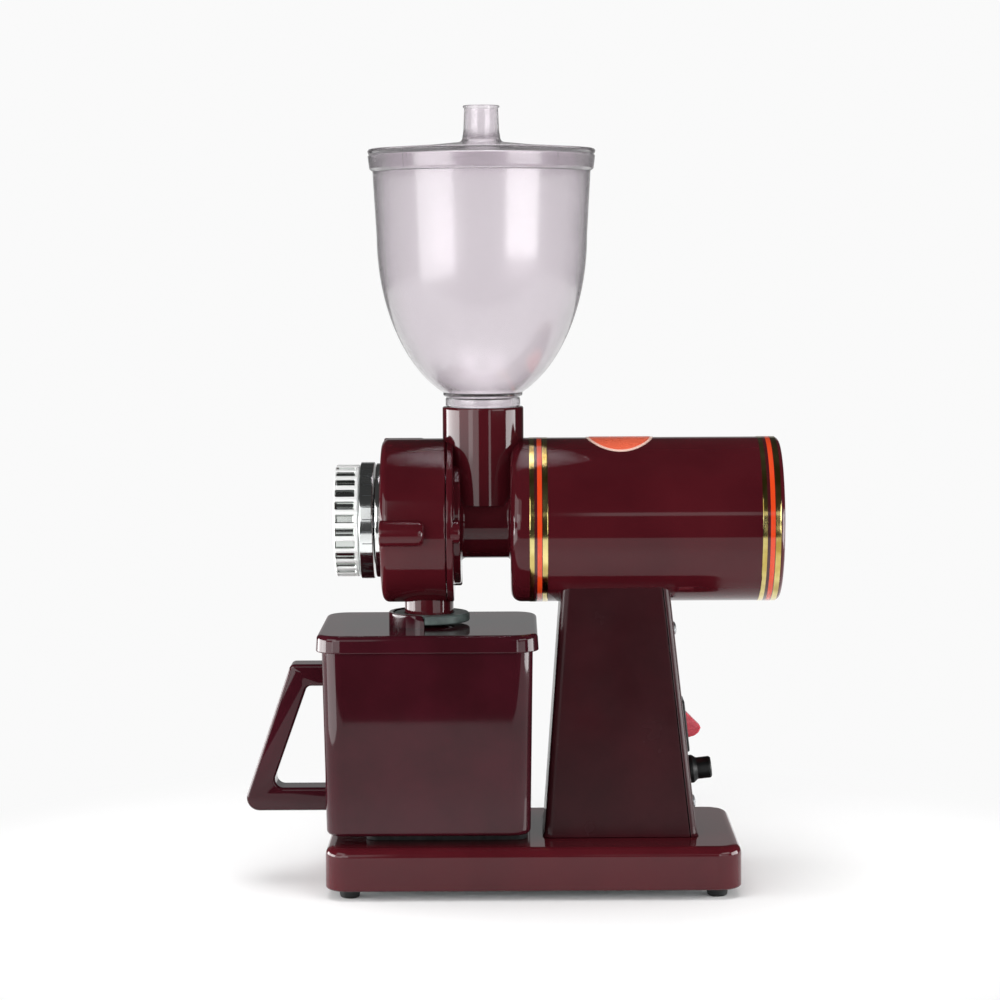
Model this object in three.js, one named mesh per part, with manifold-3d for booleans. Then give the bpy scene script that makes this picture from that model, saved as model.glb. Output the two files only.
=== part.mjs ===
// Electric coffee grinder with flat burrs: clear hopper, grinding chamber with a ribbed dial,
// lying motor on a tapered column, base plate, and a powder box with an angular handle.
// Millimetres, +Z up. The counter is at height zero and the shaft lies along X,
// with the dial at the -X end and the back of the motor at the +X end.

import * as THREE from 'three';
import { mergeVertices } from 'three/addons/utils/BufferGeometryUtils.js';
import Module from 'manifold-3d';

const wasm = await Module();
wasm.setup();

// Clearances between pieces
const seatGap = 0.3;
const airGap = 0.6;
const dialGap = 0.9;
const grindGap = 0.9;
const slotFloorGap = 0.8;
const overrun = 6;

// Facets of a full turn, and steps of a rounded corner
const fineFacets = 32;
const mediumFacets = 20;
const bossFacets = 12;
const coarseFacets = 8;
const hexagonSides = 6;
const leadSteps = 18;
const feedSteps = 24;
const feedFacets = 12;
const springFacets = 8;
const cornerSteps = 4;
const edgeSteps = 3;

// Main lines of the machine
const shaftHeight = 169.5;
const inletTop = 222.5;
const boxSetback = 9;

// Base plate and feet
const baseLength = 190.2;
const baseDepth = 99;
const baseHeight = 19.8;
const baseCornerRadius = 11;
const baseEdgeRadius = 4.2;
const baseWall = 3.5;
const baseBehindInlet = 117.4;
const baseCoverThickness = 1.5;
const footHeight = 4.4;
const footRadius = 5;
const footStemRadius = 2.6;
const footBossRadius = 5.5;
const footInset = 11;
const padThickness = 3.7;
const padLength = 74;
const padDepth = 60;
const padCornerRadius = 5;
const padOffset = 8;

// Column and its rear panel
const columnFootFront = 27.4;
const columnFootLength = 70.8;
const columnTopFront = 35.9;
const columnTopLength = 49.6;
const columnTopDepth = 48;
const columnFootDepth = 52;
const columnTopRise = 9;
const columnEdgeRadius = 4;
const columnFlare = 2.2;
const columnFlareHeight = 4;
const columnWall = 3.4;
const columnCrown = 5;
const panelThickness = 3.2;
const columnBoltRadius = 2.4;
const columnBoltHeadRadius = 4.2;
const columnBoltHeadHeight = 3;
const columnBoltLength = 14;
const columnBoltBossRadius = 5;
const columnBoltInset = 12;
const saddleScrewRadius = 2.2;
const saddleScrewHeadRadius = 4;
const saddleScrewHeadHeight = 2.6;
const saddleScrewStep = 14;
const panelScrewRadius = 1.6;
const panelScrewHeadRadius = 3.1;
const panelScrewHeadHeight = 1.6;
const panelScrewLength = 9;
const panelScrewBossRadius = 4;
const panelScrewTopDrop = 13.3;
const panelScrewRiseShare = 0.59;

// Switch and cable gland on the rear panel
const bezelLength = 24.4;
const bezelWidth = 18;
const bezelThickness = 1.3;
const bezelChamfer = 0.8;
const switchBodyLength = 20.4;
const switchBodyWidth = 14;
const switchBodyDepth = 15;
const switchWall = 1.4;
const rockerWidth = 10;
const rockerReach = 8.9;
const rockerDrop = 2;
const rockerHalf = 6.4;
const rockerTopHalf = 7;
const rockerWindowHalf = 7.7;
const rockerRoot = 5.4;
const rockerPivotDepth = 2.5;
const rockerPinRadius = 1.1;
const rockerPinReach = 0.8;
const glandHeight = 51.2;
const bezelToGland = 2.8;
const glandFlangeRadius = 6.6;
const glandFlangeThickness = 4;
const glandCapRadius = 5.1;
const glandReach = 11;
const glandThreadRadius = 4.6;
const glandThreadLength = 9;
const glandBoreRadius = 3.2;
const glandNutRadius = 7.2;
const glandNutThickness = 3;

// Electrical pieces inside the column
const capacitorRadius = 13;
const capacitorHeight = 56;
const capacitorSetback = 25.5;
const leadRadius = 2.2;
const leadHoleRadius = 3;
const leadToStator = 4;

// Body casting with its inlet tube, chamber and cover
const chamberRadius = 38.1;
const chamberWall = 3.2;
const coverLength = 30.1;
const coverFrontWall = 5;
const coverEdgeRadius = 3.3;
const flangeThickness = 3;
const hubThickness = 3.3;
const hubRadius = 29.6;
const jointToInlet = 16.7;
const neckRadius = 17.8;
const inletRadius = 18.8;
const inletBoreRadius = 16.3;
const throatRadius = 11.5;
const throatRise = 15;
const funnelRise = 9;
const coverScrewCircle = 34.6;
const coverScrewRadius = 2.1;
const coverScrewHeadRadius = 3.7;
const coverScrewHeadHeight = 3.6;
const coverBossRadius = 6;
const coverBossLength = 20.4;
const coverBossStand = 2.9;
const coverRibRadius = 4.1;
const bodyLugRadius = 5.4;
const coverScrewAngles = [184, 304, 56];

// Outlet: chute, rubber collar and the upstand on the lid of the powder box
const chuteRadius = 11.4;
const chuteBoreRadius = 9.2;
const collarHeight = 3.9;
const collarOverLid = 1.5;
const upstandRadius = 18.9;
const upstandWall = 1.9;
const upstandHeight = 5.9;
const upstandSetback = 1.9;
const outletHoleRadius = 10;

// Burrs, feed screw, shaft and bearings
const burrRadius = 29;
const burrBoreRadius = 17.5;
const fixedBurrThickness = 8;
const turningBurrThickness = 7;
const burrSeatDepth = 1.2;
const burrGrooves = 12;
const burrGrooveWidth = 2.4;
const burrGrooveDepth = 1.1;
const burrGrooveSkewShare = 0.45;
const carrierThickness = 4.6;
const carrierHubRadius = 12.5;
const carrierHubLength = 5;
const ballSeatDepth = 1.2;
const ballRadius = 3;
const pinRadius = 1.2;
const pinSlotDepth = 4;
const shaftEndGap = 1;
const shaftRadius = 4;
const rotorShaftRadius = 6;
const feedRadius = 11;
const feedCoreRadius = 6;
const feedFrontInset = 2.8;
const feedEnd = 9;
const feedTurns = 2.2;
const feedBoreRadius = 11.7;
const springWireRadius = 0.5;
const springTurns = 4;
const springRadius = 5.4;
const sealRadius = 9;
const sealLength = 4;
const bearingRadius = 11;
const bearingWidth = 7;
const bearingGroove = 0.6;
const bearingBossRadius = 15;

// Dial
const dialRadius = 26;
const dialEdge = 1.4;
const knobLength = 11.4;
const knobFlutes = 26;
const fluteDepth = 1.1;
const fluteOpenShare = 0.62;
const fluteFloorShare = 0.42;
const knobFrontWall = 3;
const knobHubRadius = 10.5;
const knobRimRadius = 21;
const scaleRingRadius = 27.2;
const scaleRingLength = 6.3;
const scaleRingBore = 20;
const ringShadowGap = 0.4;
const indexRingRadius = 26.7;
const indexRingLength = 2.3;
const indexRingBore = 12;
const threadRadius = 8.6;
const threadStemRadius = 6;
const threadStemLength = 9;

// Motor
const motorRadius = 38.2;
const motorWall = 2.8;
const motorFace = 12.5;
const motorLength = 125.4;
const motorEdgeRadius = 5;
const bellLength = 12.8;
const capLength = 6.6;
const spigotLength = 5.5;
const motorEndWall = 3.6;
const statorStart = 46.5;
const statorRearRoom = 43.4;
const statorBoreRadius = 19.6;
const statorSlots = 12;
const slotRootRadius = 27.4;
const slotMouthWidth = 2.4;
const slotWidth = 5;
const windingOuterRadius = 28.6;
const windingInnerRadius = 21.4;
const windingReach = 10;
const rotorRadius = 19;
const rotorEndRadius = 17;
const rotorEndLength = 4;
const tieRodCircle = 31.4;
const tieRodRadius = 1.8;
const tieRodHeadRadius = 3.2;
const tieRodHeadHeight = 2.4;
const tieRodCount = 3;
const tieRodBossRadius = 4.5;
const fanRadius = 29;
const fanLength = 9;
const fanBlades = 8;
const fanBladeThickness = 1.6;
const fanHubRadius = 9;
const fanDiscThickness = 1.6;
const ventCount = 12;
const ventWidth = 2.4;
const ventInnerRadius = 17;
const ventLength = 9.5;

// Hopper and its lid
const hopperWall = 2.2;
const hopperSpigotRadius = 15.9;
const hopperSpigotLength = 15;
const hopperNeckRadius = 17.3;
const hopperNeckHeight = 4.2;
const bowlFootRadius = 18.4;
const bowlFootRise = 2.4;
const bowlDraft = 1.7;
const bowlCurveHeight = 78;
const bowlCurveSteps = 5;
const bowlStraightHeight = 29.8;
const rimFlare = 0.8;
const rimSetback = 0.1;
const rimHeight = 7.4;
const lidRadius = 52.6;
const lidOverhang = 2.3;
const lidEdgeThickness = 2.4;
const lidRise = 3.4;
const lidPlateThickness = 1.8;
const lidSkirtWall = 1.8;
const lidSkirtDepth = 7;
const chimneyRadius = 8.2;
const chimneyWall = 1.4;
const chimneyHeight = 16.6;
const chimneyLip = 0.5;
const chimneyFootSpread = 0.8;

// Powder box, its lid and handle
const boxTopLength = 96.6;
const boxTopDepth = 86;
const boxFootLength = 93.6;
const boxFootDepth = 83.6;
const boxCornerRadius = 9;
const boxFootRadius = 2;
const boxWall = 2.6;
const boxFloor = 3;
const lidFit = 0.5;
const boxLidWall = 2.1;
const boxLidHeight = 7.9;
const boxLidPlate = 2.5;
const boxLidEdgeRadius = 2;
const boxLidDraft = 0.5;
const boxLidTop = 120.9;
const handleThickness = 15;
const handleTopHigh = 102.8;
const handleTopLow = 92.6;
const handleFootHigh = 44.6;
const handleFootLow = 33.8;
const handleTopReach = 16.4;
const handleTipReach = 38.4;
const handleInnerTopReach = 8.8;
const handleInnerFootReach = 26;
const handleOuterRadius = 7.8;
const handleTopRadius = 2.2;
const handleInnerRadius = 4;
const handleFootRadius = 5.6;
const handleBevel = 1.4;
const handleScrewRadius = 2;
const handleScrewHeadRadius = 3.8;
const handleScrewHeadHeight = 2.2;
const handleScrewLength = 12;

// Places worked out from the sizes above
const baseTop = footHeight + baseHeight;
const jointX = -jointToInlet;
const coverRear = jointX - seatGap;
const coverFront = coverRear - coverLength;
const chuteX = coverRear - boxSetback + seatGap;
const hubEnd = jointX + flangeThickness + hubThickness;
const motorEnd = motorFace + motorLength;
const bellEnd = motorFace + bellLength;
const capStart = motorEnd - capLength;
const motorBore = motorRadius - motorWall;
const baseEnd = baseBehindInlet;
const baseStart = baseEnd - baseLength;
const collarBottom = boxLidTop + collarOverLid;
const columnFootHeight = baseTop + seatGap;
const roomUnderNut = glandHeight - glandNutRadius - columnFootHeight;
const panelScrewLowHeight = columnFootHeight + panelScrewRiseShare * roomUnderNut;
const panelScrewTopHeight = shaftHeight - motorRadius - panelScrewTopDrop;
const switchHeight = glandHeight + glandFlangeRadius + bezelToGland + bezelLength / 2;
const bowlMouthRadius = lidRadius - lidOverhang;
const bowlRadius = bowlMouthRadius - bowlDraft;
const rimHighRadius = lidRadius - rimSetback;
const rimLowRadius = rimHighRadius - rimFlare;
const rimInnerRadius = bowlMouthRadius - hopperWall / 2 + seatGap;
const lidSkirtRadius = rimInnerRadius - seatGap;

// Materials
function finish(color, roughness, metalness, opacity = 1) {
  const transparent = opacity < 1;
  return new THREE.MeshStandardMaterial({ color, roughness, metalness, opacity, transparent });
}
const maroonEnamel = finish(0x4a1219, 0.25, 0.1);
const maroonPlastic = finish(0x4c141c, 0.2, 0);
const clearPlastic = finish(0xcfcacd, 0.08, 0, 0.35);
const chromePlate = finish(0xe6e8e6, 0.12, 1);
const blackPlastic = finish(0x16191a, 0.45, 0);
const blackRubber = finish(0x1b1c1c, 0.8, 0);
const greyRubber = finish(0x5f6e6c, 0.55, 0);
const redPlastic = finish(0xc4384a, 0.35, 0);
const burrSteel = finish(0x8e9092, 0.4, 1);
const brightSteel = finish(0xb4b7b9, 0.3, 1);
const laminatedSteel = finish(0x74777b, 0.5, 1);
const enamelledCopper = finish(0xa4562c, 0.4, 0.6);
const castAluminium = finish(0xa9abad, 0.45, 1);
const greyPaper = finish(0x9aa0a2, 0.6, 0.1);
const whiteFelt = finish(0xd8d3c8, 0.95, 0);

// A closed mesh as a solid, with its faces turned outwards.
function solidOf(geometry) {
  const bare = geometry.index ? geometry.toNonIndexed() : geometry.clone();
  bare.deleteAttribute('normal');
  bare.deleteAttribute('uv');
  const merged = mergeVertices(bare, seatGap / 1000);
  const corners = Array.from(merged.index.array);
  const faces = [];
  for (let i = 0; i < corners.length; i += 3) {
    const [a, b, c] = corners.slice(i, i + 3);
    if (a !== b && b !== c && c !== a) faces.push(a, b, c);
  }
  const vertProperties = Float32Array.from(merged.attributes.position.array);
  const build = (list) =>
    new wasm.Manifold(new wasm.Mesh({ numProp: 3, vertProperties, triVerts: Uint32Array.from(list) }));
  const solid = build(faces);
  return solid.volume() > 0 ? solid : build(faces.slice().reverse());
}

// A solid as a geometry for a mesh.
function geometryOf(solid) {
  const mesh = solid.getMesh();
  const position = new Float32Array(mesh.numVert * 3);
  for (let i = 0; i < mesh.numVert; i += 1) {
    for (let k = 0; k < 3; k += 1) position[i * 3 + k] = mesh.vertProperties[i * mesh.numProp + k];
  }
  const geometry = new THREE.BufferGeometry();
  geometry.setAttribute('position', new THREE.BufferAttribute(position, 3));
  geometry.setIndex(new THREE.BufferAttribute(Uint32Array.from(mesh.triVerts), 1));
  geometry.computeVertexNormals();
  return geometry;
}

function joined(first, ...rest) {
  return rest.reduce((sum, next) => sum.add(next), first);
}

function cut(first, ...tools) {
  return tools.reduce((left, tool) => left.subtract(tool), first);
}

// A profile of [along, radius] pairs turned about an axis through (a, b), the other two coordinates.
function turned(axis, profile, facets = fineFacets, a = 0, b = 0) {
  const points = profile.map(([along, radius]) => new THREE.Vector2(radius, along));
  const geometry = new THREE.LatheGeometry(points, facets);
  if (axis === 'x') geometry.rotateZ(-Math.PI / 2).translate(0, a, b);
  if (axis === 'y') geometry.translate(a, 0, b);
  if (axis === 'z') geometry.rotateX(Math.PI / 2).translate(a, b, 0);
  return solidOf(geometry);
}

// A round bar between two places on its axis.
function rod(axis, radius, from, to, facets = mediumFacets, a = 0, b = 0) {
  return turned(axis, [[from, 0], [from, radius], [to, radius], [to, 0]], facets, a, b);
}

// A ring with a bore. The profile closes on itself.
function ring(axis, outer, inner, from, to, facets = fineFacets, a = 0, b = 0) {
  const profile = [[from, inner], [from, outer], [to, outer], [to, inner], [from, inner]];
  return turned(axis, profile, facets, a, b);
}

// A rectangular block between two corners.
function block(low, high) {
  const size = high.map((value, i) => value - low[i]);
  const centre = high.map((value, i) => (value + low[i]) / 2);
  return solidOf(new THREE.BoxGeometry(...size).translate(...centre));
}

// A view of a flat ring of points along the axis that it faces most.
function flatView(points) {
  const normal = new THREE.Vector3();
  points.forEach((point, i) => normal.add(point.clone().cross(points[(i + 1) % points.length])));
  const facing = [Math.abs(normal.x), Math.abs(normal.y), Math.abs(normal.z)];
  const largest = facing.indexOf(Math.max(...facing));
  if (largest === 0) return (point) => new THREE.Vector2(point.y, point.z);
  if (largest === 1) return (point) => new THREE.Vector2(point.z, point.x);
  return (point) => new THREE.Vector2(point.x, point.y);
}

// Rings of points, all of one count, skinned into a closed solid with flat ends.
function lofted(rings) {
  const count = rings[0].length;
  const last = (rings.length - 1) * count;
  const vertices = rings.flat().flatMap((point) => [point.x, point.y, point.z]);
  const faces = [];
  for (let layer = 0; layer < last; layer += count) {
    for (let i = 0; i < count; i += 1) {
      const a = layer + i;
      const b = layer + ((i + 1) % count);
      faces.push(a, b, b + count, a, b + count, a + count);
    }
  }
  const contour = rings[0].map(flatView(rings[0]));
  const turnedBack = THREE.ShapeUtils.isClockWise(contour) ? 1 : 0;
  THREE.ShapeUtils.triangulateShape(contour.slice(), []).forEach((corners) => {
    const [a, b, c] = turnedBack ? corners.slice().reverse() : corners;
    faces.push(a, c, b, last + a, last + b, last + c);
  });
  const geometry = new THREE.BufferGeometry();
  geometry.setAttribute('position', new THREE.Float32BufferAttribute(vertices, 3));
  geometry.setIndex(faces);
  return solidOf(geometry);
}

// One level ring of a box with rounded corners, between start and end in X.
function levelRing({ start, end, depth, radius, height }) {
  const centres = [
    [end - radius, depth / 2 - radius],
    [start + radius, depth / 2 - radius],
    [start + radius, radius - depth / 2],
    [end - radius, radius - depth / 2],
  ];
  return centres.flatMap(([x, y], quarter) =>
    Array.from({ length: cornerSteps + 1 }, (_, i) => {
      const angle = ((quarter + i / cornerSteps) * Math.PI) / 2;
      return new THREE.Vector3(x + radius * Math.cos(angle), y + radius * Math.sin(angle), height);
    }),
  );
}

// A level ring drawn in on every side.
function drawnIn(level, inset, height) {
  return {
    start: level.start + inset,
    end: level.end - inset,
    depth: level.depth - 2 * inset,
    radius: Math.max(level.radius - inset, level.radius / 10),
    height,
  };
}

// The levels of a rounded top edge on a box.
function roundedTop(level, edge, top) {
  return Array.from({ length: edgeSteps + 1 }, (_, i) => {
    const angle = ((i / edgeSteps) * Math.PI) / 2;
    return drawnIn(level, edge * (1 - Math.cos(angle)), top - edge * (1 - Math.sin(angle)));
  });
}

// A point between two level rings, at a given height.
function levelBetween(low, high, height) {
  const share = (height - low.height) / (high.height - low.height);
  const mix = (key) => low[key] + (high[key] - low[key]) * share;
  return { start: mix('start'), end: mix('end'), depth: mix('depth'), radius: mix('radius'), height };
}

function mesh(name, solid, material) {
  const piece = new THREE.Mesh(geometryOf(solid), material);
  piece.name = name;
  return piece;
}

function pair(radius, degrees) {
  const angle = THREE.MathUtils.degToRad(degrees);
  return [radius * Math.cos(angle), radius * Math.sin(angle)];
}

// Base plate, an upturned tray with bosses for the feet and the column bolts
const basePlan = { start: baseStart, end: baseEnd, depth: baseDepth, radius: baseCornerRadius };
const footPlaces = [
  [baseStart + footInset, footInset - baseDepth / 2],
  [baseEnd - footInset, footInset - baseDepth / 2],
  [baseStart + footInset, baseDepth / 2 - footInset],
  [baseEnd - footInset, baseDepth / 2 - footInset],
];
const columnFoot = {
  start: columnFootFront,
  end: columnFootFront + columnFootLength,
  depth: columnFootDepth,
  radius: columnEdgeRadius,
  height: columnFootHeight,
};
const boltPlaces = [
  [columnFoot.start + columnBoltInset, columnBoltInset - columnFootDepth / 2],
  [columnFoot.end - columnBoltInset - panelThickness, columnBoltInset - columnFootDepth / 2],
  [columnFoot.start + columnBoltInset, columnFootDepth / 2 - columnBoltInset],
  [columnFoot.end - columnBoltInset - panelThickness, columnFootDepth / 2 - columnBoltInset],
];
const coverRecess = footHeight + baseCoverThickness + seatGap;

function basePlate() {
  const foot = { ...basePlan, height: footHeight };
  const outside = lofted([foot, ...roundedTop(basePlan, baseEdgeRadius, baseTop)].map(levelRing));
  const roomPlan = drawnIn(basePlan, baseWall, footHeight - overrun);
  const ceiling = { ...roomPlan, height: baseTop - baseWall };
  const room = lofted([roomPlan, ceiling].map(levelRing));
  const bosses = [
    ...footPlaces.map(([x, y]) =>
      rod('z', footBossRadius, coverRecess, baseTop - baseWall / 2, coarseFacets, x, y),
    ),
    ...boltPlaces.map(([x, y]) =>
      rod('z', columnBoltBossRadius, baseTop - baseWall * 2, baseTop - baseWall / 2, coarseFacets, x, y),
    ),
  ];
  const holes = [
    ...footPlaces.map(([x, y]) =>
      rod('z', footStemRadius + seatGap, 0, baseTop - baseWall, coarseFacets, x, y),
    ),
    ...boltPlaces.map(([x, y]) =>
      rod('z', columnBoltRadius + seatGap, 0, baseTop + overrun, coarseFacets, x, y),
    ),
  ];
  return cut(joined(cut(outside, room), ...bosses), ...holes);
}

function baseCover() {
  const plan = drawnIn(basePlan, baseWall + seatGap, footHeight);
  const sheet = lofted([plan, { ...plan, height: footHeight + baseCoverThickness }].map(levelRing));
  const holes = footPlaces.map(([x, y]) =>
    rod('z', footStemRadius + seatGap, 0, baseTop, coarseFacets, x, y),
  );
  return cut(sheet, ...holes);
}

function rubberFoot(x, y) {
  const top = footHeight - seatGap;
  const stemTop = baseTop - baseWall - baseWall;
  const tread = footRadius - footHeight / 8;
  const profile = [[0, 0], [0, tread], [top, footRadius], [top, footStemRadius], [stemTop, footStemRadius]];
  return turned('z', [...profile, [stemTop, 0]], coarseFacets, x, y);
}

function boxPad() {
  const middle = chuteX + padOffset;
  const plan = {
    start: middle - padLength / 2,
    end: middle + padLength / 2,
    depth: padDepth,
    radius: padCornerRadius,
    height: baseTop,
  };
  return lofted([plan, { ...plan, height: baseTop + padThickness }].map(levelRing));
}

// Column: a hollow tapered casting that carries the motor in a saddle
const columnTop = {
  start: columnTopFront,
  end: columnTopFront + columnTopLength,
  depth: columnTopDepth,
  radius: columnEdgeRadius,
  height: shaftHeight - motorRadius + columnTopRise,
};
const rearSlope = Math.atan2(columnFoot.end - columnTop.end, columnTop.height - columnFoot.height);
const panelPlace = new THREE.Matrix4()
  .makeRotationY(-rearSlope)
  .setPosition(columnFoot.end, 0, columnFoot.height);
const alongPanel = (height) => (height - columnFoot.height) / Math.cos(rearSlope);

function onPanel(solid) {
  return solidOf(geometryOf(solid).applyMatrix4(panelPlace));
}

function columnOutside() {
  const flareTop = levelBetween(columnFoot, columnTop, columnFoot.height + columnFlareHeight);
  const flareMiddle = levelBetween(columnFoot, columnTop, columnFoot.height + columnFlareHeight / 3);
  const flared = drawnIn(columnFoot, -columnFlare, columnFoot.height);
  const flaredMiddle = drawnIn(flareMiddle, -columnFlare / 3, flareMiddle.height);
  return lofted([flared, flaredMiddle, flareTop, columnTop].map(levelRing));
}

function panelSlab(front, back) {
  const reach = columnTop.height;
  return onPanel(block([-front, -columnFootDepth, -overrun], [back, columnFootDepth, reach]));
}

const leadX = statorStart - leadToStator;
const saddleScrewPlaces = [leadX + saddleScrewStep, leadX + saddleScrewStep * 2];
const cavityTop = shaftHeight - motorRadius - seatGap - columnCrown;

function columnBody() {
  const below = { ...drawnIn(columnFoot, columnWall, columnFoot.height) };
  const above = { ...drawnIn(columnTop, columnWall, columnTop.height) };
  const openBack = (level) => ({ ...level, end: level.end + columnWall + overrun });
  const low = openBack(levelBetween(below, above, columnFoot.height - overrun));
  const high = openBack(levelBetween(below, above, cavityTop));
  const room = lofted([low, high].map(levelRing));
  const saddle = rod('x', motorRadius + seatGap, motorFace, motorEnd, fineFacets, 0, shaftHeight);
  const bossTop = columnFoot.height + columnBoltLength;
  const bosses = boltPlaces.map(([x, y]) =>
    rod('z', columnBoltBossRadius, columnFoot.height, bossTop, coarseFacets, x, y),
  );
  const webs = boltPlaces.map(([x, y]) => {
    const side = Math.sign(y);
    const edge = [y, (side * (columnFootDepth - columnWall)) / 2].sort((p, q) => p - q);
    return block(
      [x - columnWall / 2, edge[0], columnFoot.height],
      [x + columnWall / 2, edge[1], columnFoot.height + columnBoltLength],
    );
  });
  const boltHoles = boltPlaces.map(([x, y]) =>
    rod('z', columnBoltRadius + seatGap, 0, bossTop - columnWall, coarseFacets, x, y),
  );
  const saddleHoles = saddleScrewPlaces.map((x) =>
    rod('z', saddleScrewRadius + seatGap, cavityTop - overrun, shaftHeight, coarseFacets, x, 0),
  );
  const leadHole = rod('z', leadHoleRadius, cavityTop - overrun, shaftHeight, coarseFacets, leadX, 0);
  const screwBosses = [panelScrewTopHeight, panelScrewLowHeight].map((height) =>
    onPanel(panelBoss(height)),
  );
  const holeEnd = -panelScrewLength - panelScrewBossRadius;
  const screwHoles = [panelScrewTopHeight, panelScrewLowHeight].map((height) =>
    onPanel(
      rod('x', panelScrewRadius + seatGap, holeEnd, overrun, coarseFacets, 0, alongPanel(height)),
    ),
  );
  const behind = panelSlab(panelThickness + seatGap, overrun * 3);
  const shell = cut(columnOutside(), room, saddle, behind);
  const fitted = joined(shell, ...bosses, ...webs, ...screwBosses);
  return cut(fitted, behind, ...boltHoles, ...saddleHoles, leadHole, ...screwHoles);
}

// A boss for a panel screw on a bridge from wall to wall of the column
function panelBoss(height) {
  const face = -panelThickness - seatGap;
  const back = face - panelScrewLength;
  const middle = alongPanel(height);
  const halfDepth = levelBetween(columnFoot, columnTop, height).depth / 2 - columnWall / 2;
  const boss = rod('x', panelScrewBossRadius, back, face, coarseFacets, 0, middle);
  const bridge = block(
    [back, -halfDepth, middle - columnWall / 2],
    [back + panelScrewLength / 2, halfDepth, middle + columnWall / 2],
  );
  return joined(boss, bridge);
}

function rearPanel() {
  const plate = columnOutside().intersect(panelSlab(panelThickness, overrun * 3));
  const saddle = rod('x', motorRadius + seatGap, motorFace, motorEnd, fineFacets, 0, shaftHeight);
  const middle = alongPanel(switchHeight);
  const window = block(
    [-overrun, -switchBodyWidth / 2 - seatGap, middle - switchBodyLength / 2 - seatGap],
    [overrun, switchBodyWidth / 2 + seatGap, middle + switchBodyLength / 2 + seatGap],
  );
  const glandHole = rod('x', glandThreadRadius + seatGap, -overrun, overrun, mediumFacets, 0,
    alongPanel(glandHeight));
  const screwHoles = [panelScrewTopHeight, panelScrewLowHeight].map((height) =>
    rod('x', panelScrewRadius + seatGap, -overrun, overrun, coarseFacets, 0, alongPanel(height)),
  );
  return cut(plate, saddle, ...[window, glandHole, ...screwHoles].map(onPanel));
}

function columnBolt(x, y) {
  const headTop = baseTop - baseWall * 2 - seatGap;
  const tip = columnFoot.height + columnBoltLength - columnWall - seatGap;
  const profile = [
    [headTop - columnBoltHeadHeight, 0],
    [headTop - columnBoltHeadHeight, columnBoltHeadRadius],
    [headTop, columnBoltHeadRadius],
    [headTop, columnBoltRadius],
    [tip, columnBoltRadius],
    [tip, 0],
  ];
  return turned('z', profile, coarseFacets, x, y);
}

function saddleScrew(x) {
  const headTop = cavityTop - seatGap;
  const tip = shaftHeight - motorRadius + motorWall - seatGap;
  const profile = [
    [headTop - saddleScrewHeadHeight, 0],
    [headTop - saddleScrewHeadHeight, saddleScrewHeadRadius],
    [headTop, saddleScrewHeadRadius],
    [headTop, saddleScrewRadius],
    [tip, saddleScrewRadius],
    [tip, 0],
  ];
  return turned('z', profile, coarseFacets, x, 0);
}

function panelScrew(height) {
  const seat = seatGap;
  const profile = [
    [-panelScrewLength - panelThickness, 0],
    [-panelScrewLength - panelThickness, panelScrewRadius],
    [seat, panelScrewRadius],
    [seat, panelScrewHeadRadius],
    [seat + panelScrewHeadHeight / 2, panelScrewHeadRadius],
    [seat + panelScrewHeadHeight, panelScrewHeadRadius / 2],
    [seat + panelScrewHeadHeight, 0],
  ];
  return turned('x', profile, coarseFacets, 0, alongPanel(height));
}

// Switch: a housing with a sloped bezel and an open window, and the rocker that tilts in it
const bezelFace = seatGap + bezelThickness;
const rockerPivot = bezelFace - rockerPivotDepth;

function outlineSolid(points, from, to) {
  const shape = new THREE.Shape(points.map(([x, y]) => new THREE.Vector2(x, y)));
  const geometry = new THREE.ExtrudeGeometry(shape, { depth: to - from, bevelEnabled: false });
  return solidOf(geometry.rotateX(Math.PI / 2).translate(0, to, 0));
}

function switchHousing() {
  const middle = alongPanel(switchHeight);
  const half = bezelLength / 2;
  const bezel = outlineSolid(
    [
      [seatGap, middle - half],
      [bezelFace - bezelChamfer, middle - half],
      [bezelFace, middle - half + bezelChamfer],
      [bezelFace, middle + half - bezelChamfer],
      [bezelFace - bezelChamfer, middle + half],
      [seatGap, middle + half],
    ],
    -bezelWidth / 2,
    bezelWidth / 2,
  );
  const body = block(
    [-switchBodyDepth, -switchBodyWidth / 2, middle - switchBodyLength / 2],
    [bezelFace - bezelChamfer, switchBodyWidth / 2, middle + switchBodyLength / 2],
  );
  const room = block(
    [-switchBodyDepth + switchWall * 2, -rockerWidth / 2 - seatGap, middle - rockerWindowHalf],
    [overrun, rockerWidth / 2 + seatGap, middle + rockerWindowHalf],
  );
  const pinHalf = rockerWidth / 2 + rockerPinReach + seatGap;
  const pinHole = rod('y', rockerPinRadius + seatGap, -pinHalf, pinHalf, coarseFacets, rockerPivot, middle);
  return cut(joined(bezel, body), room, pinHole);
}

// The rocker about its pivot, as it rests: top end sunk, lower end standing out with a rounded end face
function rocker() {
  const face = rockerPivotDepth;
  const body = outlineSolid(
    [
      [-rockerRoot, -rockerHalf / 2],
      [0, -rockerHalf],
      [face, rockerDrop / 4 - rockerHalf],
      [(face + rockerReach) / 2, rockerDrop / 2 - rockerHalf],
      [rockerReach - rockerDrop / 2, -rockerDrop * 2],
      [rockerReach, -rockerDrop],
      [face, rockerTopHalf - rockerDrop / 2],
      [face - rockerDrop / 2, rockerTopHalf],
      [-rockerDrop, rockerTopHalf],
      [-rockerRoot, rockerTopHalf / 2],
    ],
    -rockerWidth / 2,
    rockerWidth / 2,
  );
  const pin = rod('y', rockerPinRadius, -rockerWidth / 2 - rockerPinReach, rockerWidth / 2 + rockerPinReach,
    coarseFacets);
  return joined(body, pin);
}

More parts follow.
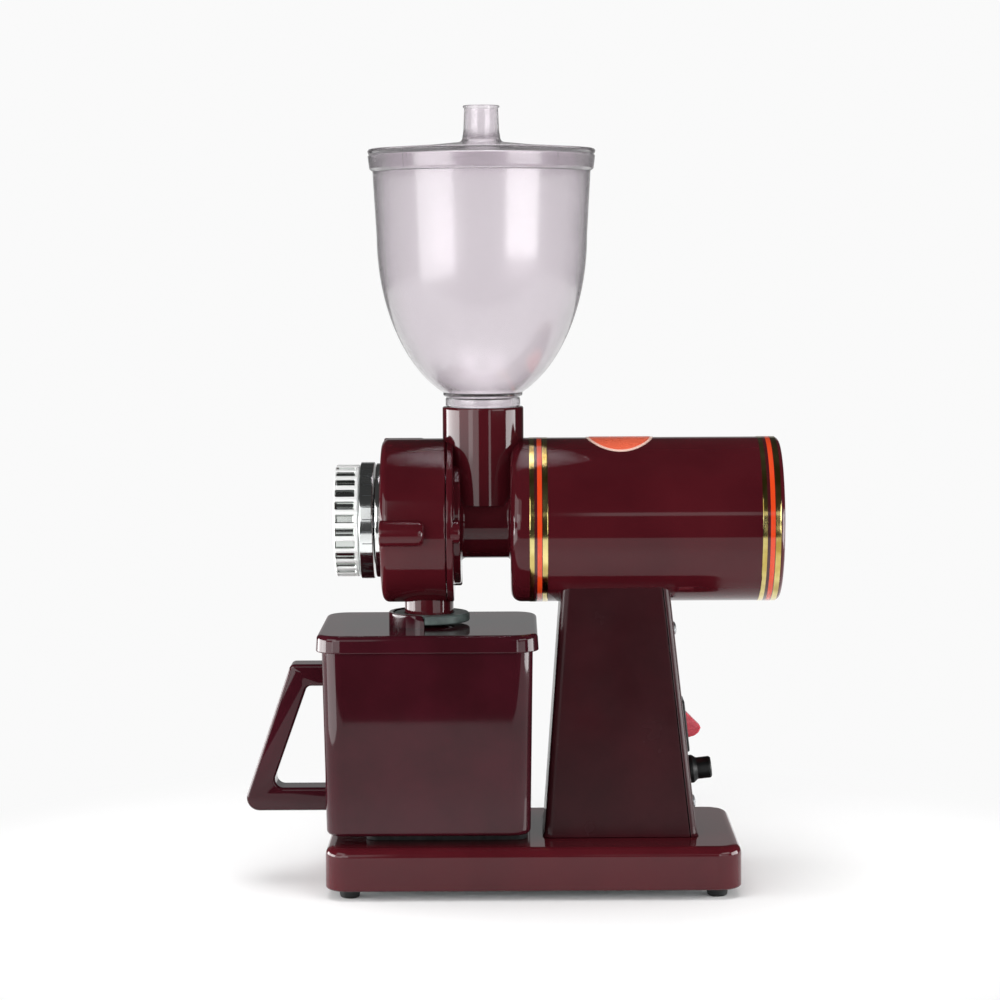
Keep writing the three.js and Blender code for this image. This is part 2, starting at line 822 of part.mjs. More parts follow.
function glandBody() {
  const start = seatGap;
  const waist = start + glandFlangeThickness;
  const profile = [
    [-glandThreadLength, glandBoreRadius],
    [-glandThreadLength, glandThreadRadius],
    [start, glandThreadRadius],
    [start, glandFlangeRadius],
    [start + glandFlangeThickness / 2, glandFlangeRadius],
    [waist, glandCapRadius],
    [glandReach - glandFlangeThickness / 4, glandCapRadius],
    [glandReach, glandCapRadius - glandFlangeThickness / 4],
    [glandReach, glandBoreRadius],
    [-glandThreadLength, glandBoreRadius],
  ];
  return turned('x', profile, mediumFacets, 0, alongPanel(glandHeight));
}

function glandNut() {
  const front = -panelThickness - seatGap;
  const back = front - glandNutThickness;
  const hexagon = rod('x', glandNutRadius, back, front, hexagonSides, 0, alongPanel(glandHeight));
  const bore = rod('x', glandThreadRadius + seatGap, back - overrun, front + overrun, mediumFacets, 0,
    alongPanel(glandHeight));
  return cut(hexagon, bore);
}

// A tube along a smooth curve through the given places
function tubeAlong(points, radius, steps) {
  const curve = new THREE.CatmullRomCurve3(points.map((place) => new THREE.Vector3(...place)));
  const section = new THREE.Shape();
  section.absarc(0, 0, radius, 0, Math.PI * 2);
  const curveSegments = 3;
  return solidOf(
    new THREE.ExtrudeGeometry(section, { steps, curveSegments, bevelEnabled: false, extrudePath: curve }),
  );
}

const capacitorX = columnFoot.start + capacitorSetback;

function capacitor() {
  const low = baseTop + seatGap;
  const edge = capacitorRadius / 8;
  const stud = capacitorRadius / 3;
  const top = low + capacitorHeight;
  const profile = [
    [low, 0],
    [low, capacitorRadius],
    [top - edge, capacitorRadius],
    [top, capacitorRadius - edge],
    [top, stud],
    [top + edge * 2, stud],
    [top + edge * 2, 0],
  ];
  return turned('z', profile, mediumFacets, capacitorX, 0);
}

function motorLead() {
  const start = new THREE.Vector3(-switchBodyDepth - airGap * 2, 0, alongPanel(switchHeight));
  start.applyMatrix4(panelPlace);
  const bend = leadRadius * 3;
  const inside = shaftHeight - motorBore + bend / 2;
  return tubeAlong(
    [
      [start.x, 0, start.z],
      [start.x - bend / 2, 0, start.z + bend / 6],
      [start.x - bend, 0, start.z + bend],
      [leadX + bend, 0, cavityTop - bend * 2],
      [leadX, 0, cavityTop - bend / 2],
      [leadX, 0, inside],
    ],
    leadRadius,
    leadSteps,
  );
}

// Body casting: chamber back, neck, inlet tube and the front bell of the motor
const screwPlaces = coverScrewAngles.map((degrees) => pair(coverScrewCircle, degrees));
const sealStart = feedEnd + seatGap;
const sealEnd = sealStart + sealLength;
const frontBearingStart = sealEnd + seatGap + bearingGroove;
const frontBossEnd = frontBearingStart + bearingWidth + seatGap;

function bodyCasting() {
  const inletHeight = inletTop - shaftHeight;
  const lugs = screwPlaces.map(([y, z]) => {
    const inward = (coverScrewCircle - bodyLugRadius / 4) / coverScrewCircle;
    return rod('x', bodyLugRadius, jointX, hubEnd, coarseFacets, y * inward, z * inward);
  });
  const inlet = rod('z', inletRadius, 0, inletHeight, fineFacets);
  const edge = motorEdgeRadius;
  const spine = turned('x', [
    [jointX, 0],
    [jointX, chamberRadius],
    [jointX + flangeThickness, chamberRadius],
    [jointX + flangeThickness, hubRadius],
    [hubEnd, hubRadius],
    [hubEnd, neckRadius],
    [motorFace, neckRadius],
    ...Array.from({ length: edgeSteps + 1 }, (_, i) => {
      const angle = ((i / edgeSteps) * Math.PI) / 2;
      return [motorFace + edge * (1 - Math.cos(angle)), motorRadius - edge + edge * Math.sin(angle)];
    }),
    [bellEnd, motorRadius],
    [bellEnd, motorBore - seatGap],
    [bellEnd + spigotLength, motorBore - seatGap],
    [bellEnd + spigotLength, 0],
  ]);
  const bellRoom = cut(
    rod('x', motorBore - seatGap - motorWall, motorFace + motorEndWall, motorEnd, fineFacets),
    rod('x', bearingBossRadius, motorFace, frontBossEnd, mediumFacets),
    ...tieRodPlaces.map(([y, z]) => rod('x', tieRodBossRadius, motorFace, bellEnd + spigotLength,
      coarseFacets, y, z)),
  );
  const bore = turned('x', [
    [jointX - overrun, 0],
    [jointX - overrun, feedBoreRadius],
    [sealStart - seatGap, feedBoreRadius],
    [sealStart - seatGap, sealRadius + seatGap],
    [sealEnd + seatGap, sealRadius + seatGap],
    [sealEnd + seatGap, shaftRadius + airGap * 2],
    [frontBearingStart - seatGap, shaftRadius + airGap * 2],
    [frontBearingStart - seatGap, bearingRadius + seatGap],
    [motorEnd, bearingRadius + seatGap],
    [motorEnd, 0],
  ], mediumFacets);
  const funnel = turned('z', [
    [0, 0],
    [0, throatRadius],
    [throatRise, throatRadius],
    [throatRise + funnelRise, inletBoreRadius],
    [inletHeight + overrun, inletBoreRadius],
    [inletHeight + overrun, 0],
  ], mediumFacets);
  const seat = rod('x', burrRadius + seatGap, jointX - overrun, jointX + burrSeatDepth, fineFacets);
  const screwHoles = screwPlaces.map(([y, z]) =>
    rod('x', coverScrewRadius + seatGap, jointX - overrun, hubEnd + overrun, coarseFacets, y, z));
  const rodHoles = tieRodPlaces.map(([y, z]) =>
    rod('x', tieRodRadius + seatGap, motorFace + motorEndWall, motorEnd, coarseFacets, y, z));
  const drum = rod('x', chamberRadius + seatGap, coverFront, jointX, fineFacets);
  const whole = joined(spine, ...lugs, cut(inlet, drum));
  return cut(whole, bellRoom, bore, funnel, seat, ...screwHoles, ...rodHoles);
}

// Cover of the grinding chamber, with the threaded bore for the dial, screw bosses and the chute
function chamberCover() {
  const edge = coverEdgeRadius;
  const cup = turned('x', [
    [coverFront, 0],
    ...Array.from({ length: edgeSteps + 1 }, (_, i) => {
      const angle = ((i / edgeSteps) * Math.PI) / 2;
      return [coverFront + edge * (1 - Math.cos(angle)), chamberRadius - edge + edge * Math.sin(angle)];
    }),
    [coverRear - chamberWall / 4, chamberRadius],
    [coverRear, chamberRadius - chamberWall / 4],
    [coverRear, 0],
  ]);
  const wallInside = coverFront + coverFrontWall;
  const room = rod('x', chamberRadius - chamberWall, wallInside, coverRear + overrun, fineFacets);
  const chuteLow = collarBottom + seatGap - shaftHeight;
  const chute = rod('z', chuteRadius, chuteLow, -chamberRadius + chamberWall, mediumFacets, chuteX, 0);
  const chuteBore = rod('z', chuteBoreRadius, chuteLow - overrun, -burrRadius, mediumFacets, chuteX, 0);
  const bosses = screwPlaces.map(([y, z]) => {
    const outward = (coverScrewCircle + coverBossStand) / coverScrewCircle;
    return rod('x', coverBossRadius, coverFront, coverFront + coverBossLength, bossFacets, y * outward,
      z * outward);
  });
  const ribs = screwPlaces.map(([y, z]) =>
    rod('x', coverRibRadius, coverFront + coverFrontWall / 2, coverRear, coarseFacets, y, z));
  const insideOnly = rod('x', chamberRadius - chamberWall / 4, coverFront, coverRear, fineFacets);
  const screwHoles = screwPlaces.map(([y, z]) =>
    rod('x', coverScrewRadius + seatGap, coverFront - overrun, coverRear + overrun, coarseFacets, y, z));
  const headRooms = screwPlaces.map(([y, z]) =>
    rod('x', coverScrewHeadRadius + seatGap, coverFront - overrun, coverFront + coverScrewHeadHeight,
      coarseFacets, y, z));
  const threadBore = rod('x', threadRadius + seatGap, coverFront - overrun, coverRear, mediumFacets);
  const underFlange = rod('x', chamberRadius + seatGap, coverRear, hubEnd, fineFacets);
  const burrRoom = rod('x', burrRadius + airGap, wallInside, coverRear + overrun, fineFacets);
  const whole = joined(cup, cut(chute, underFlange), ...bosses);
  const hollow = cut(whole, room);
  const ribbed = joined(hollow, ...ribs.map((rib) => cut(rib.intersect(insideOnly), burrRoom)));
  return cut(ribbed, chuteBore, threadBore, ...screwHoles, ...headRooms);
}

function coverScrew(y, z) {
  const seat = coverFront + coverScrewHeadHeight - seatGap;
  const tip = hubEnd - seatGap;
  const hexSocket = rod('x', coverScrewHeadRadius / 2, seat - coverScrewHeadHeight * 2,
    seat - coverScrewHeadHeight / 2, hexagonSides, y, z);
  const profile = [
    [seat - coverScrewHeadHeight, 0],
    [seat - coverScrewHeadHeight, coverScrewHeadRadius],
    [seat, coverScrewHeadRadius],
    [seat, coverScrewRadius],
    [tip, coverScrewRadius],
    [tip, 0],
  ];
  return cut(turned('x', profile, coarseFacets, y, z), hexSocket);
}

// Collar round the chute: a full ring at the back, drawn in at the front to fit inside the lid's upstand
function outletCollar() {
  const low = collarBottom;
  const high = collarBottom + collarHeight;
  const bore = rod('z', chuteRadius + seatGap, low - overrun, high + overrun, mediumFacets, chuteX, 0);
  const step = chuteX - upstandSetback + seatGap;
  const back = block([step, -upstandRadius * 2, low - overrun], [step + upstandRadius * 3,
    upstandRadius * 2, high + overrun]);
  const edge = collarHeight / 6;
  const wide = turned('z', [[low, 0], [low, upstandRadius], [high - edge, upstandRadius],
    [high, upstandRadius - edge], [high, 0]], mediumFacets, chuteX, 0);
  const narrow = rod('z', upstandRadius - upstandWall - seatGap, low, high, mediumFacets, chuteX, 0);
  return cut(joined(wide.intersect(back), narrow), bore);
}

// Burrs, their carrier and the feed screw
const fixedBurrBack = jointX + burrSeatDepth - seatGap;
const fixedBurrFace = fixedBurrBack - fixedBurrThickness;
const turningBurrFace = fixedBurrFace - grindGap;
const turningBurrBack = turningBurrFace - turningBurrThickness;
const carrierRear = turningBurrBack - seatGap;
const carrierFront = carrierRear - carrierThickness;
const carrierHubEnd = carrierRear + carrierHubLength;
const pinX = carrierHubEnd - pinSlotDepth + slotFloorGap + pinRadius;
const ballX = carrierFront + ballSeatDepth - seatGap - ballRadius;
const feedFront = fixedBurrFace + feedFrontInset;

function burr(back, face) {
  const side = Math.sign(back - face);
  const flat = (burrRadius - burrBoreRadius) / 3;
  const relief = burrGrooveDepth * side;
  const plain = turned('x', [
    [back, burrBoreRadius],
    [back, burrRadius],
    [face, burrRadius],
    [face, burrRadius - flat],
    [face + relief, burrBoreRadius],
    [back, burrBoreRadius],
  ]);
  const grooves = Array.from({ length: burrGrooves }, (_, i) => {
    const depth = [face - side * overrun, face + relief].sort((p, q) => p - q);
    const shape = new THREE.BoxGeometry(depth[1] - depth[0], burrRadius + overrun, burrGrooveWidth);
    shape.translate((depth[0] + depth[1]) / 2, burrRadius, burrBoreRadius * burrGrooveSkewShare);
    return solidOf(shape.rotateX((i / burrGrooves) * Math.PI * 2));
  });
  return cut(plain, ...grooves);
}

function burrCarrier() {
  const disc = rod('x', burrRadius, carrierFront, carrierRear, fineFacets);
  const hub = rod('x', carrierHubRadius, carrierRear - carrierThickness / 2, carrierHubEnd, mediumFacets);
  const boreEnd = shaftFront - shaftEndGap;
  const bore = rod('x', shaftRadius + seatGap, boreEnd, carrierHubEnd + overrun, mediumFacets);
  const seat = turned('x', [
    [carrierFront - overrun, 0],
    [carrierFront - overrun, ballRadius],
    [carrierFront, ballRadius],
    [carrierFront + ballSeatDepth, ballRadius / 2],
    [carrierFront + ballSeatDepth, 0],
  ], coarseFacets);
  const slotHalf = pinRadius + seatGap;
  const slot = block([carrierHubEnd - pinSlotDepth, -slotHalf, -burrRadius],
    [carrierHubEnd + overrun, slotHalf, burrRadius]);
  return cut(joined(disc, hub), bore, seat, slot);
}

const shaftFront = pinX - pinRadius * 2;

function feedScrew() {
  const rings = Array.from({ length: feedSteps + 1 }, (_, step) => {
    const share = step / feedSteps;
    const x = feedFront + (feedEnd - feedFront) * share;
    return Array.from({ length: feedFacets }, (_, i) => {
      const angle = (i / feedFacets) * Math.PI * 2;
      const blade = Math.max(0, Math.cos(angle)) ** 3;
      const radius = feedCoreRadius + (feedRadius - feedCoreRadius) * blade;
      const turn = angle + share * feedTurns * Math.PI * 2;
      return new THREE.Vector3(x, radius * Math.cos(turn), radius * Math.sin(turn));
    });
  });
  const bore = rod('x', shaftRadius + seatGap, feedFront - overrun, feedEnd + overrun, mediumFacets);
  return cut(lofted(rings), bore);
}

function burrSpring() {
  const from = carrierHubEnd + dialGap + springWireRadius;
  const to = feedFront - seatGap - springWireRadius;
  const count = springTurns * springFacets;
  const places = Array.from({ length: count + 1 }, (_, i) => {
    const angle = (i / springFacets) * Math.PI * 2;
    const x = from + ((to - from) * i) / count;
    return [x, springRadius * Math.cos(angle), springRadius * Math.sin(angle)];
  });
  return tubeAlong(places, springWireRadius, count);
}

// Shaft, seal and bearings
const rearWallInside = motorEnd - motorEndWall;
const rearBearingEnd = rearWallInside - motorEndWall;
const rearBearingStart = rearBearingEnd - bearingWidth;

function rotorShaft() {
  const shoulder = frontBearingStart + bearingWidth + seatGap;
  const rearShoulder = rearBearingStart - seatGap;
  const body = turned('x', [
    [shaftFront, 0],
    [shaftFront, shaftRadius],
    [shoulder, shaftRadius],
    [shoulder, rotorShaftRadius],
    [rearShoulder, rotorShaftRadius],
    [rearShoulder, shaftRadius],
    [rearBearingEnd + seatGap, shaftRadius],
    [rearBearingEnd + seatGap, 0],
  ], mediumFacets);
  const crossHole = rod('z', pinRadius + seatGap, -shaftRadius * 2, shaftRadius * 2, coarseFacets, pinX, 0);
  return cut(body, crossHole);
}

function bearing(start) {
  const end = start + bearingWidth;
  const inner = shaftRadius + seatGap;
  const third = (bearingRadius - inner) / 4;
  return turned('x', [
    [start, inner],
    [start, inner + third],
    [start + bearingGroove, inner + third],
    [start + bearingGroove, bearingRadius - third],
    [start, bearingRadius - third],
    [start, bearingRadius],
    [end, bearingRadius],
    [end, bearingRadius - third],
    [end - bearingGroove, bearingRadius - third],
    [end - bearingGroove, inner + third],
    [end, inner + third],
    [end, inner],
    [start, inner],
  ], bossFacets);
}

// Dial: ribbed knob, scale ring and adjusting screw, with the fixed index ring behind them
const indexRear = coverFront - seatGap;
const scaleRear = indexRear - indexRingLength - dialGap;
const scaleFront = scaleRear - scaleRingLength;
const knobRear = scaleFront - ringShadowGap;
const knobFront = knobRear - knobLength;
const threadEnd = ballX - ballRadius - seatGap + ballSeatDepth / 2;

function flutedRing(x, radius, depth) {
  const flute = [
    [0, 0],
    [1 - fluteOpenShare, 0],
    [1 - (fluteOpenShare + fluteFloorShare) / 2, 1],
    [1 - (fluteOpenShare - fluteFloorShare) / 2, 1],
  ];
  return Array.from({ length: knobFlutes }, (_, i) => i).flatMap((i) =>
    flute.map(([share, drop]) => {
      const angle = ((i + share) / knobFlutes) * Math.PI * 2;
      const reach = radius - drop * depth;
      return new THREE.Vector3(x, reach * Math.cos(angle), reach * Math.sin(angle));
    }),
  );
}

function dialKnob() {
  const fluted = lofted([
    flutedRing(knobFront, dialRadius - dialEdge, fluteDepth / 4),
    flutedRing(knobFront + dialEdge, dialRadius, fluteDepth),
    flutedRing(knobRear, dialRadius, fluteDepth),
  ]);
  const back = knobRear + overrun;
  const room = ring('x', knobRimRadius, knobHubRadius, knobFront + knobFrontWall, back, mediumFacets);
  const stemEnd = knobRear - threadStemLength - seatGap;
  const stemRoom = rod('x', threadStemRadius + seatGap, stemEnd, back, mediumFacets);
  const dish = rod('x', knobRimRadius, knobFront - overrun, knobFront + knobFrontWall / 3, mediumFacets);
  return cut(fluted, room, stemRoom, dish);
}

function scaleRing() {
  const edge = ringShadowGap;
  const profile = [
    [scaleFront, scaleRingBore],
    [scaleFront, scaleRingRadius - edge],
    [scaleFront + edge, scaleRingRadius],
    [scaleRear, scaleRingRadius],
    [scaleRear, scaleRingBore],
    [scaleFront, scaleRingBore],
  ];
  return turned('x', profile);
}

function adjustingScrew() {
  const flangeRear = scaleRear - scaleRingLength / 2;
  const stem = turned('x', [
    [knobRear - threadStemLength, 0],
    [knobRear - threadStemLength, threadStemRadius],
    [knobRear + seatGap, threadStemRadius],
    [knobRear + seatGap, scaleRingBore - seatGap],
    [flangeRear, scaleRingBore - seatGap],
    [flangeRear, threadRadius],
    [threadEnd, threadRadius],
    [threadEnd, 0],
  ], mediumFacets);
  const cup = turned('x', [
    [threadEnd - ballSeatDepth / 2, 0],
    [threadEnd - ballSeatDepth / 2, ballRadius / 2],
    [threadEnd, ballRadius],
    [threadEnd + overrun, ballRadius],
    [threadEnd + overrun, 0],
  ], coarseFacets);
  return cut(stem, cup);
}

// Motor
const tieRodPlaces = Array.from({ length: tieRodCount }, (_, i) =>
  pair(tieRodCircle, 90 + (360 * i) / tieRodCount));
const statorEnd = motorEnd - statorRearRoom;

function motorShell() {
  const tube = ring('x', motorRadius, motorBore, bellEnd + seatGap, capStart - seatGap, fineFacets);
  const low = -motorRadius - overrun;
  const screwHoles = saddleScrewPlaces.map((x) =>
    rod('z', saddleScrewRadius + seatGap, low, -motorBore / 2, coarseFacets, x, 0));
  const leadHole = rod('z', leadHoleRadius, low, -motorBore / 2, coarseFacets, leadX, 0);
  return cut(tube, ...screwHoles, leadHole);
}

function rearCap() {
  const edge = motorEdgeRadius;
  const spigot = motorBore - seatGap;
  const cap = turned('x', [
    [capStart - spigotLength, 0],
    [capStart - spigotLength, spigot],
    [capStart, spigot],
    [capStart, motorRadius],
    ...Array.from({ length: edgeSteps + 1 }, (_, i) => {
      const angle = ((i / edgeSteps) * Math.PI) / 2;
      return [motorEnd - edge * (1 - Math.sin(angle)), motorRadius - edge * (1 - Math.cos(angle))];
    }),
    [motorEnd, 0],
  ]);
  const room = cut(
    rod('x', spigot - motorWall, motorFace, rearWallInside, fineFacets),
    rod('x', bearingBossRadius, rearBearingStart, motorEnd, mediumFacets),
    ...tieRodPlaces.map(([y, z]) => rod('x', tieRodBossRadius, motorFace, motorEnd, coarseFacets, y, z)),
  );
  const bearingSeat = rod('x', bearingRadius + seatGap, motorFace, rearBearingEnd + seatGap, mediumFacets);
  const shaftRoomEnd = rearBearingEnd + airGap * 2;
  const shaftRoom = rod('x', shaftRadius + airGap * 2, motorFace, shaftRoomEnd, mediumFacets);
  const rodHoles = tieRodPlaces.map(([y, z]) =>
    rod('x', tieRodRadius + seatGap, motorFace, motorEnd + overrun, coarseFacets, y, z));
  const headRooms = tieRodPlaces.map(([y, z]) =>
    rod('x', tieRodHeadRadius + seatGap, motorEnd - tieRodHeadHeight - seatGap, motorEnd + overrun,
      coarseFacets, y, z));
  const vents = Array.from({ length: ventCount }, (_, i) => {
    const slot = new THREE.BoxGeometry(motorEndWall * 3, ventLength, ventWidth);
    slot.translate(motorEnd, ventInnerRadius + ventLength / 2, 0);
    return solidOf(slot.rotateX(((i + 0.5) / ventCount) * Math.PI * 2));
  });
  return cut(cap, room, bearingSeat, shaftRoom, ...rodHoles, ...headRooms, ...vents);
}

function tieRod(y, z) {
  const headFace = motorEnd - seatGap;
  const seat = headFace - tieRodHeadHeight + seatGap;
  const tip = motorFace + motorEndWall + seatGap;
  return turned('x', [
    [tip, 0],
    [tip, tieRodRadius],
    [seat, tieRodRadius],
    [seat, tieRodHeadRadius],
    [headFace, tieRodHeadRadius],
    [headFace, 0],
  ], coarseFacets, y, z);
}

// The stator's section: a ring with slots that open into its bore
function slotOutline(mouth, width, root, bore, fit) {
  return Array.from({ length: statorSlots }, (_, i) => i).flatMap((i) => {
    const turn = (i / statorSlots) * Math.PI * 2;
    const lip = (root - bore) / 5;
    const points = [
      [bore, -mouth / 2],
      [bore + lip, -mouth / 2],
      [bore + lip * 2, -width / 2 + fit],
      [root - fit, -width / 2 + fit],
      [root - fit, width / 2 - fit],
      [bore + lip * 2, width / 2 - fit],
      [bore + lip, mouth / 2],
      [bore, mouth / 2],
    ];
    return points.map(([r, t]) => [
      r * Math.cos(turn) - t * Math.sin(turn),
      r * Math.sin(turn) + t * Math.cos(turn),
    ]);
  });
}

function statorCore() {
  const outer = rod('x', motorBore - seatGap, statorStart, statorEnd, fineFacets);
  const outline = slotOutline(slotMouthWidth, slotWidth, slotRootRadius, statorBoreRadius, 0);
  const rings = [statorStart - overrun, statorEnd + overrun].map((x) =>
    outline.map(([y, z]) => new THREE.Vector3(x, y, z)));
  const rodHoles = tieRodPlaces.map(([y, z]) =>
    rod('x', tieRodRadius + seatGap, statorStart - overrun, statorEnd + overrun, coarseFacets, y, z));
  return cut(outer, lofted(rings), ...rodHoles);
}

function statorWinding() {
  const front = statorStart - seatGap;
  const back = statorEnd + seatGap;
  const bundle = (from, to) => {
    const edge = Math.abs(to - from) / 5;
    const outward = Math.sign(to - from);
    return turned('x', [
      [from, windingInnerRadius],
      [from, windingOuterRadius],
      [to - outward * edge, windingOuterRadius],
      [to, windingOuterRadius - edge],
      [to, windingInnerRadius + edge],
      [to - outward * edge, windingInnerRadius],
      [from, windingInnerRadius],
    ], mediumFacets);
  };
  const bars = Array.from({ length: statorSlots }, (_, i) => {
    const low = windingInnerRadius + (slotRootRadius - statorBoreRadius) / 5;
    const high = slotRootRadius - seatGap;
    const bar = new THREE.BoxGeometry(back - front + windingReach, high - low, slotWidth - 2 * seatGap);
    bar.translate((front + back) / 2, (high + low) / 2, 0);
    return solidOf(bar.rotateX((i / statorSlots) * Math.PI * 2));
  });
  return joined(bundle(front, front - windingReach), bundle(back, back + windingReach), ...bars);
}

function rotorCore() {
  const inner = rotorShaftRadius + seatGap;
  return turned('x', [
    [statorStart - rotorEndLength, inner],
    [statorStart - rotorEndLength, rotorEndRadius],
    [statorStart, rotorEndRadius],
    [statorStart, rotorRadius],
    [statorEnd, rotorRadius],
    [statorEnd, rotorEndRadius],
    [statorEnd + rotorEndLength, rotorEndRadius],
    [statorEnd + rotorEndLength, inner],
    [statorStart - rotorEndLength, inner],
  ], mediumFacets);
}

function coolingFan() {
  const start = statorEnd + seatGap + windingReach + airGap * 2;
  const end = start + fanLength;
  const hub = rod('x', fanHubRadius, start, end, mediumFacets);
  const disc = rod('x', fanRadius, start, start + fanDiscThickness, mediumFacets);
  const blades = Array.from({ length: fanBlades }, (_, i) => {
    const low = fanHubRadius / 2;
    const blade = new THREE.BoxGeometry(fanLength, fanRadius - low - fanBladeThickness, fanBladeThickness);
    blade.translate((start + end) / 2, (fanRadius + low - fanBladeThickness) / 2, 0);
    return solidOf(blade.rotateX((i / fanBlades) * Math.PI * 2));
  });
  const bore = rod('x', rotorShaftRadius + seatGap, start - overrun, end + overrun, mediumFacets);
  return cut(joined(hub, disc, ...blades), bore);
}

// Hopper, in its own frame with the top of the inlet tube at height zero
const bowlFootAngle = Math.acos(bowlFootRadius / bowlRadius);
const bowlFootHeight = hopperNeckHeight + bowlFootRise;
const bowlCentre = bowlFootHeight + bowlCurveHeight * Math.sin(bowlFootAngle);
const bowlTop = bowlCentre + bowlStraightHeight;

function bowlProfile(inset) {
  const curve = Array.from({ length: bowlCurveSteps + 1 }, (_, i) => {
    const angle = bowlFootAngle * (1 - i / bowlCurveSteps);
    const drop = (bowlCurveHeight - inset) * Math.sin(angle);
    return [bowlCentre - drop, (bowlRadius - inset) * Math.cos(angle)];
  });
  return [...curve, [bowlTop, bowlMouthRadius - inset]];
}

function hopper() {
  const neckInner = hopperSpigotRadius - hopperWall;
  const outside = [
    [-hopperSpigotLength, neckInner],
    [-hopperSpigotLength, hopperSpigotRadius],
    [seatGap, hopperSpigotRadius],
    [seatGap, hopperNeckRadius],
    [hopperNeckHeight, hopperNeckRadius],
    [hopperNeckHeight + bowlFootRise / 3, bowlFootRadius],
    ...bowlProfile(0),
    [bowlTop + hopperWall / 2, rimLowRadius],
    [bowlTop + rimHeight, rimHighRadius],
  ];
  const inside = [
    [bowlTop + rimHeight, rimInnerRadius],
    [bowlTop, rimInnerRadius],
    ...bowlProfile(hopperWall).reverse(),
    [hopperNeckHeight, neckInner],
    [-hopperSpigotLength, neckInner],
  ];
  return turned('z', [...outside, ...inside]);
}

function hopperLid() {
  const low = bowlTop + rimHeight + seatGap;
  const skirtInner = lidSkirtRadius - lidSkirtWall;
  const high = low + lidEdgeThickness + lidRise;
  const tip = high + chimneyHeight;
  const bore = chimneyRadius - chimneyWall;
  return turned('z', [
    [low - lidSkirtDepth, skirtInner],
    [low - lidSkirtDepth, lidSkirtRadius],
    [low, lidSkirtRadius],
    [low, lidRadius - lidEdgeThickness / 3],
    [low + lidEdgeThickness / 2, lidRadius],
    [low + lidEdgeThickness, lidRadius - lidEdgeThickness / 6],
    [low + lidEdgeThickness + lidRise / 2, lidRadius / 2],
    [high, chimneyRadius + chimneyFootSpread],
    [high + chimneyHeight / 3, chimneyRadius],
    [tip - chimneyLip * 2, chimneyRadius - chimneyLip / 2],
    [tip - chimneyLip * 2, chimneyRadius + chimneyLip / 2],
    [tip, chimneyRadius + chimneyLip / 2],
    [tip, bore],
    [high - lidPlateThickness, bore],
    [low + lidEdgeThickness + lidRise / 2 - lidPlateThickness, lidRadius / 2],
    [low + lidEdgeThickness / 3, skirtInner],
    [low - lidSkirtDepth, skirtInner],
  ]);
}

// Powder box, in its own frame with the chute's axis at x = 0
const boxBottom = baseTop + padThickness + seatGap;
const boxRim = boxLidTop - boxLidPlate - seatGap;
const boxFootLevel = {
  start: -boxFootLength / 2,
  end: boxFootLength / 2,
  depth: boxFootDepth,
  radius: boxCornerRadius,
  height: boxBottom,
};
const boxTopLevel = {
  start: -boxTopLength / 2,
  end: boxTopLength / 2,
  depth: boxTopDepth,
  radius: boxCornerRadius,
  height: boxRim,
};
const handleScrewHeights = [
  (handleTopHigh + handleTopLow) / 2,
  (handleFootHigh + handleFootLow) / 2,
];

function powderBox() {
  const bottom = drawnIn(boxFootLevel, boxFootRadius, boxBottom);
  const lower = levelBetween(boxFootLevel, boxTopLevel, boxBottom + boxFootRadius);
  const middle = drawnIn(boxFootLevel, boxFootRadius / 3, boxBottom + boxFootRadius / 3);
  const outside = lofted([bottom, middle, lower, boxTopLevel].map(levelRing));
  const inner = (level, height) => drawnIn(level, boxWall, height);
  const floorHeight = boxBottom + boxFloor;
  const floorLevel = inner(levelBetween(boxFootLevel, boxTopLevel, floorHeight), floorHeight);
  const mouthLevel = inner(boxTopLevel, boxRim + overrun);
  const room = lofted([floorLevel, mouthLevel].map(levelRing));
  const holes = handleScrewHeights.map((height) =>
    rod('x', handleScrewRadius + seatGap, -boxTopLength, -boxTopLength / 3, coarseFacets, 0, height));
  return cut(outside, room, ...holes);
}

function powderBoxLid() {
  const low = boxLidTop - boxLidHeight;
  const reach = lidFit + boxLidWall;
  const skirtFoot = drawnIn(boxTopLevel, -reach, low);
  const shoulder = drawnIn(skirtFoot, boxLidDraft, boxLidTop);
  const outside = lofted([skirtFoot, ...roundedTop(shoulder, boxLidEdgeRadius, boxLidTop)].map(levelRing));
  const roomPlan = drawnIn(boxTopLevel, -lidFit, low - overrun);
  const room = lofted([roomPlan, { ...roomPlan, height: boxLidTop - boxLidPlate }].map(levelRing));
  const wallTop = boxLidTop + upstandHeight;
  const wallFoot = boxLidTop - boxLidPlate / 2;
  const wall = ring('z', upstandRadius, upstandRadius - upstandWall, wallFoot, wallTop, fineFacets);
  const front = block([-upstandRadius * 2, -upstandRadius * 2, 0],
    [-upstandSetback, upstandRadius * 2, wallTop * 2]);
  const corner = upstandHeight / 2;
  const bend = -upstandSetback - corner;
  const ends = cut(
    block([bend, -upstandRadius * 2, wallTop - corner], [overrun, upstandRadius * 2, wallTop + overrun]),
    rod('y', corner, -upstandRadius * 2, upstandRadius * 2, coarseFacets, bend, wallTop - corner),
  );
  const upstand = cut(wall.intersect(front), ends);
  const hole = rod('z', outletHoleRadius, low, wallTop + overrun, mediumFacets);
  return cut(joined(cut(outside, room), upstand), hole);
}

// The wall of the box at the handle, at a given height
function wallAt(height) {
  return levelBetween(boxFootLevel, boxTopLevel, height).start - seatGap;
}

